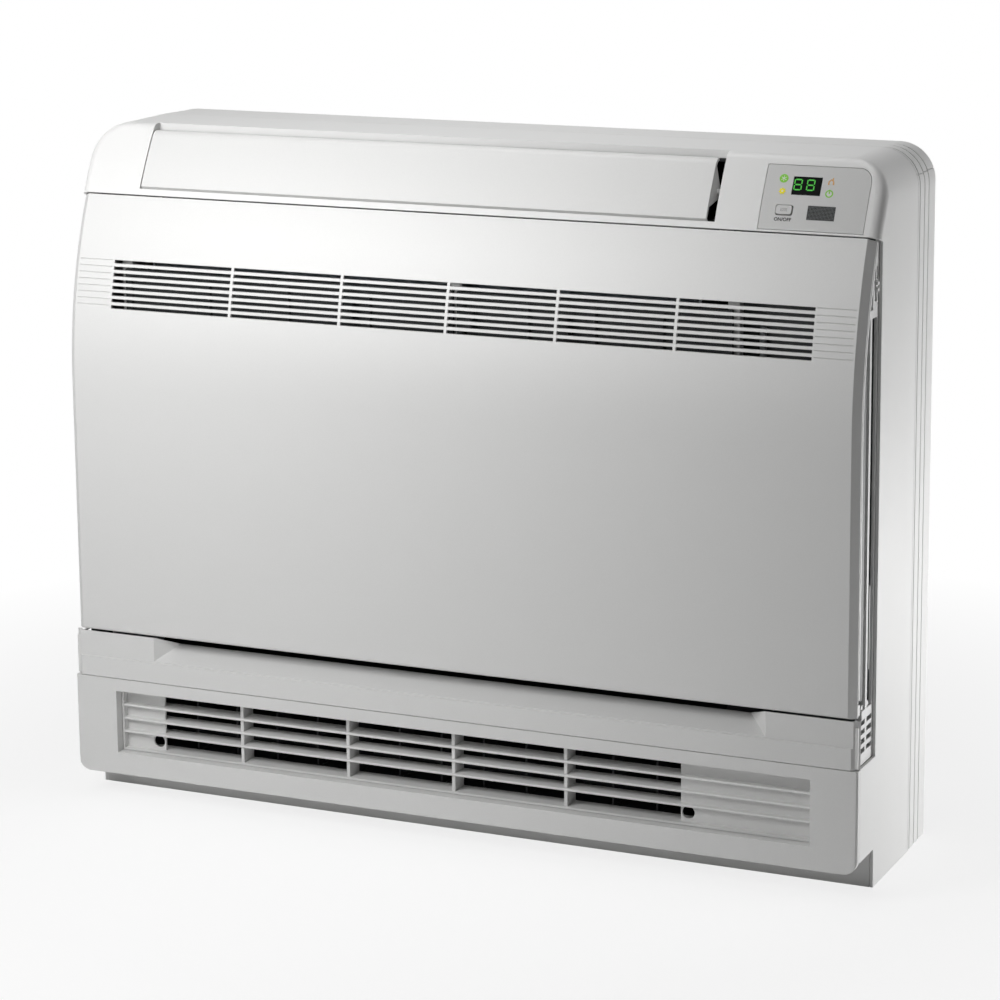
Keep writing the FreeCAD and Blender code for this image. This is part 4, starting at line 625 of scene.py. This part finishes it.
class CONSOLE_OT_air_path(bpy.types.Operator):
    """Finishes the ducts, fan, vanes and motor"""
    bl_idname = "console.air_path"
    bl_label = "Air path"

    def execute(self, context):
        finish = context.scene.console_finishes
        dress(duct_plastic(finish), "fan_housing", "bell_mouth", "vane_bar", "vane_link", "lower_damper",
              "lower_vanes", "drain_pan", "selector_switch", *["vane_%d" % n for n in range(1, 7)])
        dress(fan_plastic(), "fan_wheel", "room_sensor")
        dress(drawn_metal("turned_bright_steel", linear("B9BABC"), 0.3, 0.5), "motor_shaft", "motor_screws",
              "casing_screws")
        dress(moulded_resin("moulded_motor_resin", "D3CFC4", 2.0), "fan_motor")
        dress(filter_net(finish), "filter_left", "filter_right")
        return {"FINISHED"}


class CONSOLE_OT_exchanger(bpy.types.Operator):
    """Finishes the pipes and electrics and models the heat exchanger's fins"""
    bl_idname = "console.exchanger"
    bl_label = "Heat exchanger"

    def execute(self, context):
        finish = context.scene.console_finishes
        sizes = context.scene.console_sizes
        dress(drawn_metal("drawn_copper_tube", finish.copper, 0.28, 0.6), "coil_tubes", "return_bends",
              "liquid_pipe", "gas_pipe")
        dress(drawn_metal("turned_brass", linear("C8A75E"), 0.3, 0.5), "liquid_union", "gas_union")
        dress(moulded_resin("black_epoxy_parts", "1E1F22", 1.0), "board_parts", "terminal_block")
        low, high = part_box("coil_fins")
        clear_selection()
        bpy.ops.mesh.primitive_cube_add(size=1)
        fins = bpy.context.object
        fins.name = "coil_fin_pack"
        fins.scale = (sizes.fin_sheet, high[1] - low[1], high[2] - low[2])
        fins.location = (low[0] + sizes.fin_sheet / 2, (low[1] + high[1]) / 2, (low[2] + high[2]) / 2)
        bpy.ops.object.transform_apply(location=True, rotation=True, scale=True)
        repeat = fins.modifiers.new("repeat", "ARRAY")
        repeat.use_relative_offset = False
        repeat.use_constant_offset = True
        repeat.constant_offset_displace = (sizes.fin_pitch, 0, 0)
        repeat.count = int((high[0] - low[0] - sizes.fin_sheet) / sizes.fin_pitch) + 1
        bpy.ops.object.modifier_apply(modifier="repeat")
        finish_piece(fins, fin_foil(), "cabinet")
        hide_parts("coil_fins")
        return {"FINISHED"}


class CONSOLE_OT_stage(bpy.types.Operator):
    """Sets the floor, the studio light and the camera"""
    bl_idname = "console.stage"
    bl_label = "Studio"

    def execute(self, context):
        self.floor()
        self.world(context.scene)
        for softbox in SOFTBOXES:
            self.lamp(*softbox)
        self.camera(context.scene)
        context.scene.view_settings.view_transform = "Standard"
        return {"FINISHED"}

    def floor(self):
        """Pale paper floor that stays white to the camera and keeps the shadow close to the object."""
        clear_selection()
        bpy.ops.mesh.primitive_plane_add(size=60, location=(0, 0, -0.0005))
        piece = bpy.context.object
        piece.name = "studio_floor"
        material, tree, shader = surface("white_studio_paper", linear("F4F4F4"), Roughness=0.9)
        place = grain(tree, shader, 3.0, 0.02)
        far = add(tree, "ShaderNodeVectorMath", {0: place.outputs["Object"]}, operation="LENGTH")
        fade = add(tree, "ShaderNodeMapRange", {"Value": far.outputs["Value"]}, From_Min=0.45, From_Max=0.95,
                   To_Min=0.8, To_Max=1.0)
        share = add(tree, "ShaderNodeMath", {0: seen_rays(tree), 1: fade.outputs["Result"]},
                    operation="MULTIPLY")
        white = add(tree, "ShaderNodeEmission", Strength=1.0)
        both = add(tree, "ShaderNodeMixShader", {0: share.outputs["Value"], 1: shader.outputs["BSDF"],
                                                 2: white.outputs["Emission"]})
        end = [node for node in tree.nodes if node.bl_idname == "ShaderNodeOutputMaterial"][0]
        tree.links.new(both.outputs["Shader"], end.inputs["Surface"])
        piece.data.materials.append(material)

    def world(self, scene):
        """White backdrop to the eye and a weak even light on the object."""
        world = bpy.data.worlds.new("studio_world")
        scene.world = world
        world.use_nodes = True
        tree = world.node_tree
        tree.nodes.clear()
        soft = add(tree, "ShaderNodeBackground", Color=(1.0, 1.0, 1.0, 1.0), Strength=SOFT_WORLD)
        white = add(tree, "ShaderNodeBackground", Color=(1.0, 1.0, 1.0, 1.0), Strength=1.0)
        mix = add(tree, "ShaderNodeMixShader", {0: seen_rays(tree), 1: soft.outputs[0], 2: white.outputs[0]})
        add(tree, "ShaderNodeOutputWorld", {"Surface": mix.outputs[0]})

    def lamp(self, name, place, target, wide, tall, power, spread):
        """One softbox, turned to its aim."""
        data = bpy.data.lights.new(name, "AREA")
        data.shape = "RECTANGLE"
        data.size = wide
        data.size_y = tall
        data.energy = power
        data.spread = math.radians(spread)
        piece = bpy.data.objects.new(name, data)
        bpy.context.scene.collection.objects.link(piece)
        piece.location = place
        piece.rotation_euler = (Vector(target) - Vector(place)).to_track_quat("-Z", "Y").to_euler()

    def camera(self, scene):
        """Camera with the photograph's view."""
        azimuth, elevation, roll = (math.radians(v) for v in (CAMERA_AZIMUTH, CAMERA_ELEVATION, CAMERA_ROLL))
        target = Vector(CAMERA_TARGET) * MM
        distance = CAMERA_DISTANCE * MM
        data = bpy.data.cameras.new("photo_camera")
        data.sensor_width = SENSOR_WIDTH
        data.lens = FOCAL_PIXELS * SENSOR_WIDTH / PICTURE_PIXELS
        data.shift_y = CAMERA_SHIFT
        back = Vector((math.sin(azimuth) * math.cos(elevation), -math.cos(azimuth) * math.cos(elevation),
                       math.sin(elevation)))
        right = Vector((math.cos(azimuth), math.sin(azimuth), 0))
        up = back.cross(right)
        turned_right = right * math.cos(roll) + up * math.sin(roll)
        turned_up = up * math.cos(roll) - right * math.sin(roll)
        piece = bpy.data.objects.new("photo_camera", data)
        scene.collection.objects.link(piece)
        turn = Matrix((turned_right, turned_up, back)).transposed().to_4x4()
        piece.matrix_world = Matrix.Translation(target + back * distance) @ turn
        data.clip_end = 50
        scene.camera = piece


class CONSOLE_PT_panel(bpy.types.Panel):
    """Lists the console's steps and finishes"""
    bl_label = "Floor console"
    bl_space_type = "VIEW_3D"
    bl_region_type = "UI"
    bl_category = "Console"

    def draw(self, context):
        for operator in STEPS:
            self.layout.operator(operator.bl_idname)
        for group in (context.scene.console_sizes, context.scene.console_finishes):
            for key in group.__annotations__:
                self.layout.prop(group, key)


STEPS = (CONSOLE_OT_casing, CONSOLE_OT_front, CONSOLE_OT_display, CONSOLE_OT_air_path, CONSOLE_OT_exchanger,
         CONSOLE_OT_stage)
CLASSES = (ConsoleSizes, ConsoleFinishes) + STEPS + (CONSOLE_PT_panel,)


def register():
    for cls in CLASSES:
        bpy.utils.register_class(cls)
    bpy.types.Scene.console_sizes = bpy.props.PointerProperty(type=ConsoleSizes)
    bpy.types.Scene.console_finishes = bpy.props.PointerProperty(type=ConsoleFinishes)


def unregister():
    del bpy.types.Scene.console_finishes
    del bpy.types.Scene.console_sizes
    for cls in reversed(CLASSES):
        bpy.utils.unregister_class(cls)


def main():
    register()
    bpy.ops.console.casing()
    bpy.ops.console.front()
    bpy.ops.console.display()
    bpy.ops.console.air_path()
    bpy.ops.console.exchanger()
    bpy.ops.console.stage()


if __name__ == "__main__":
    main()
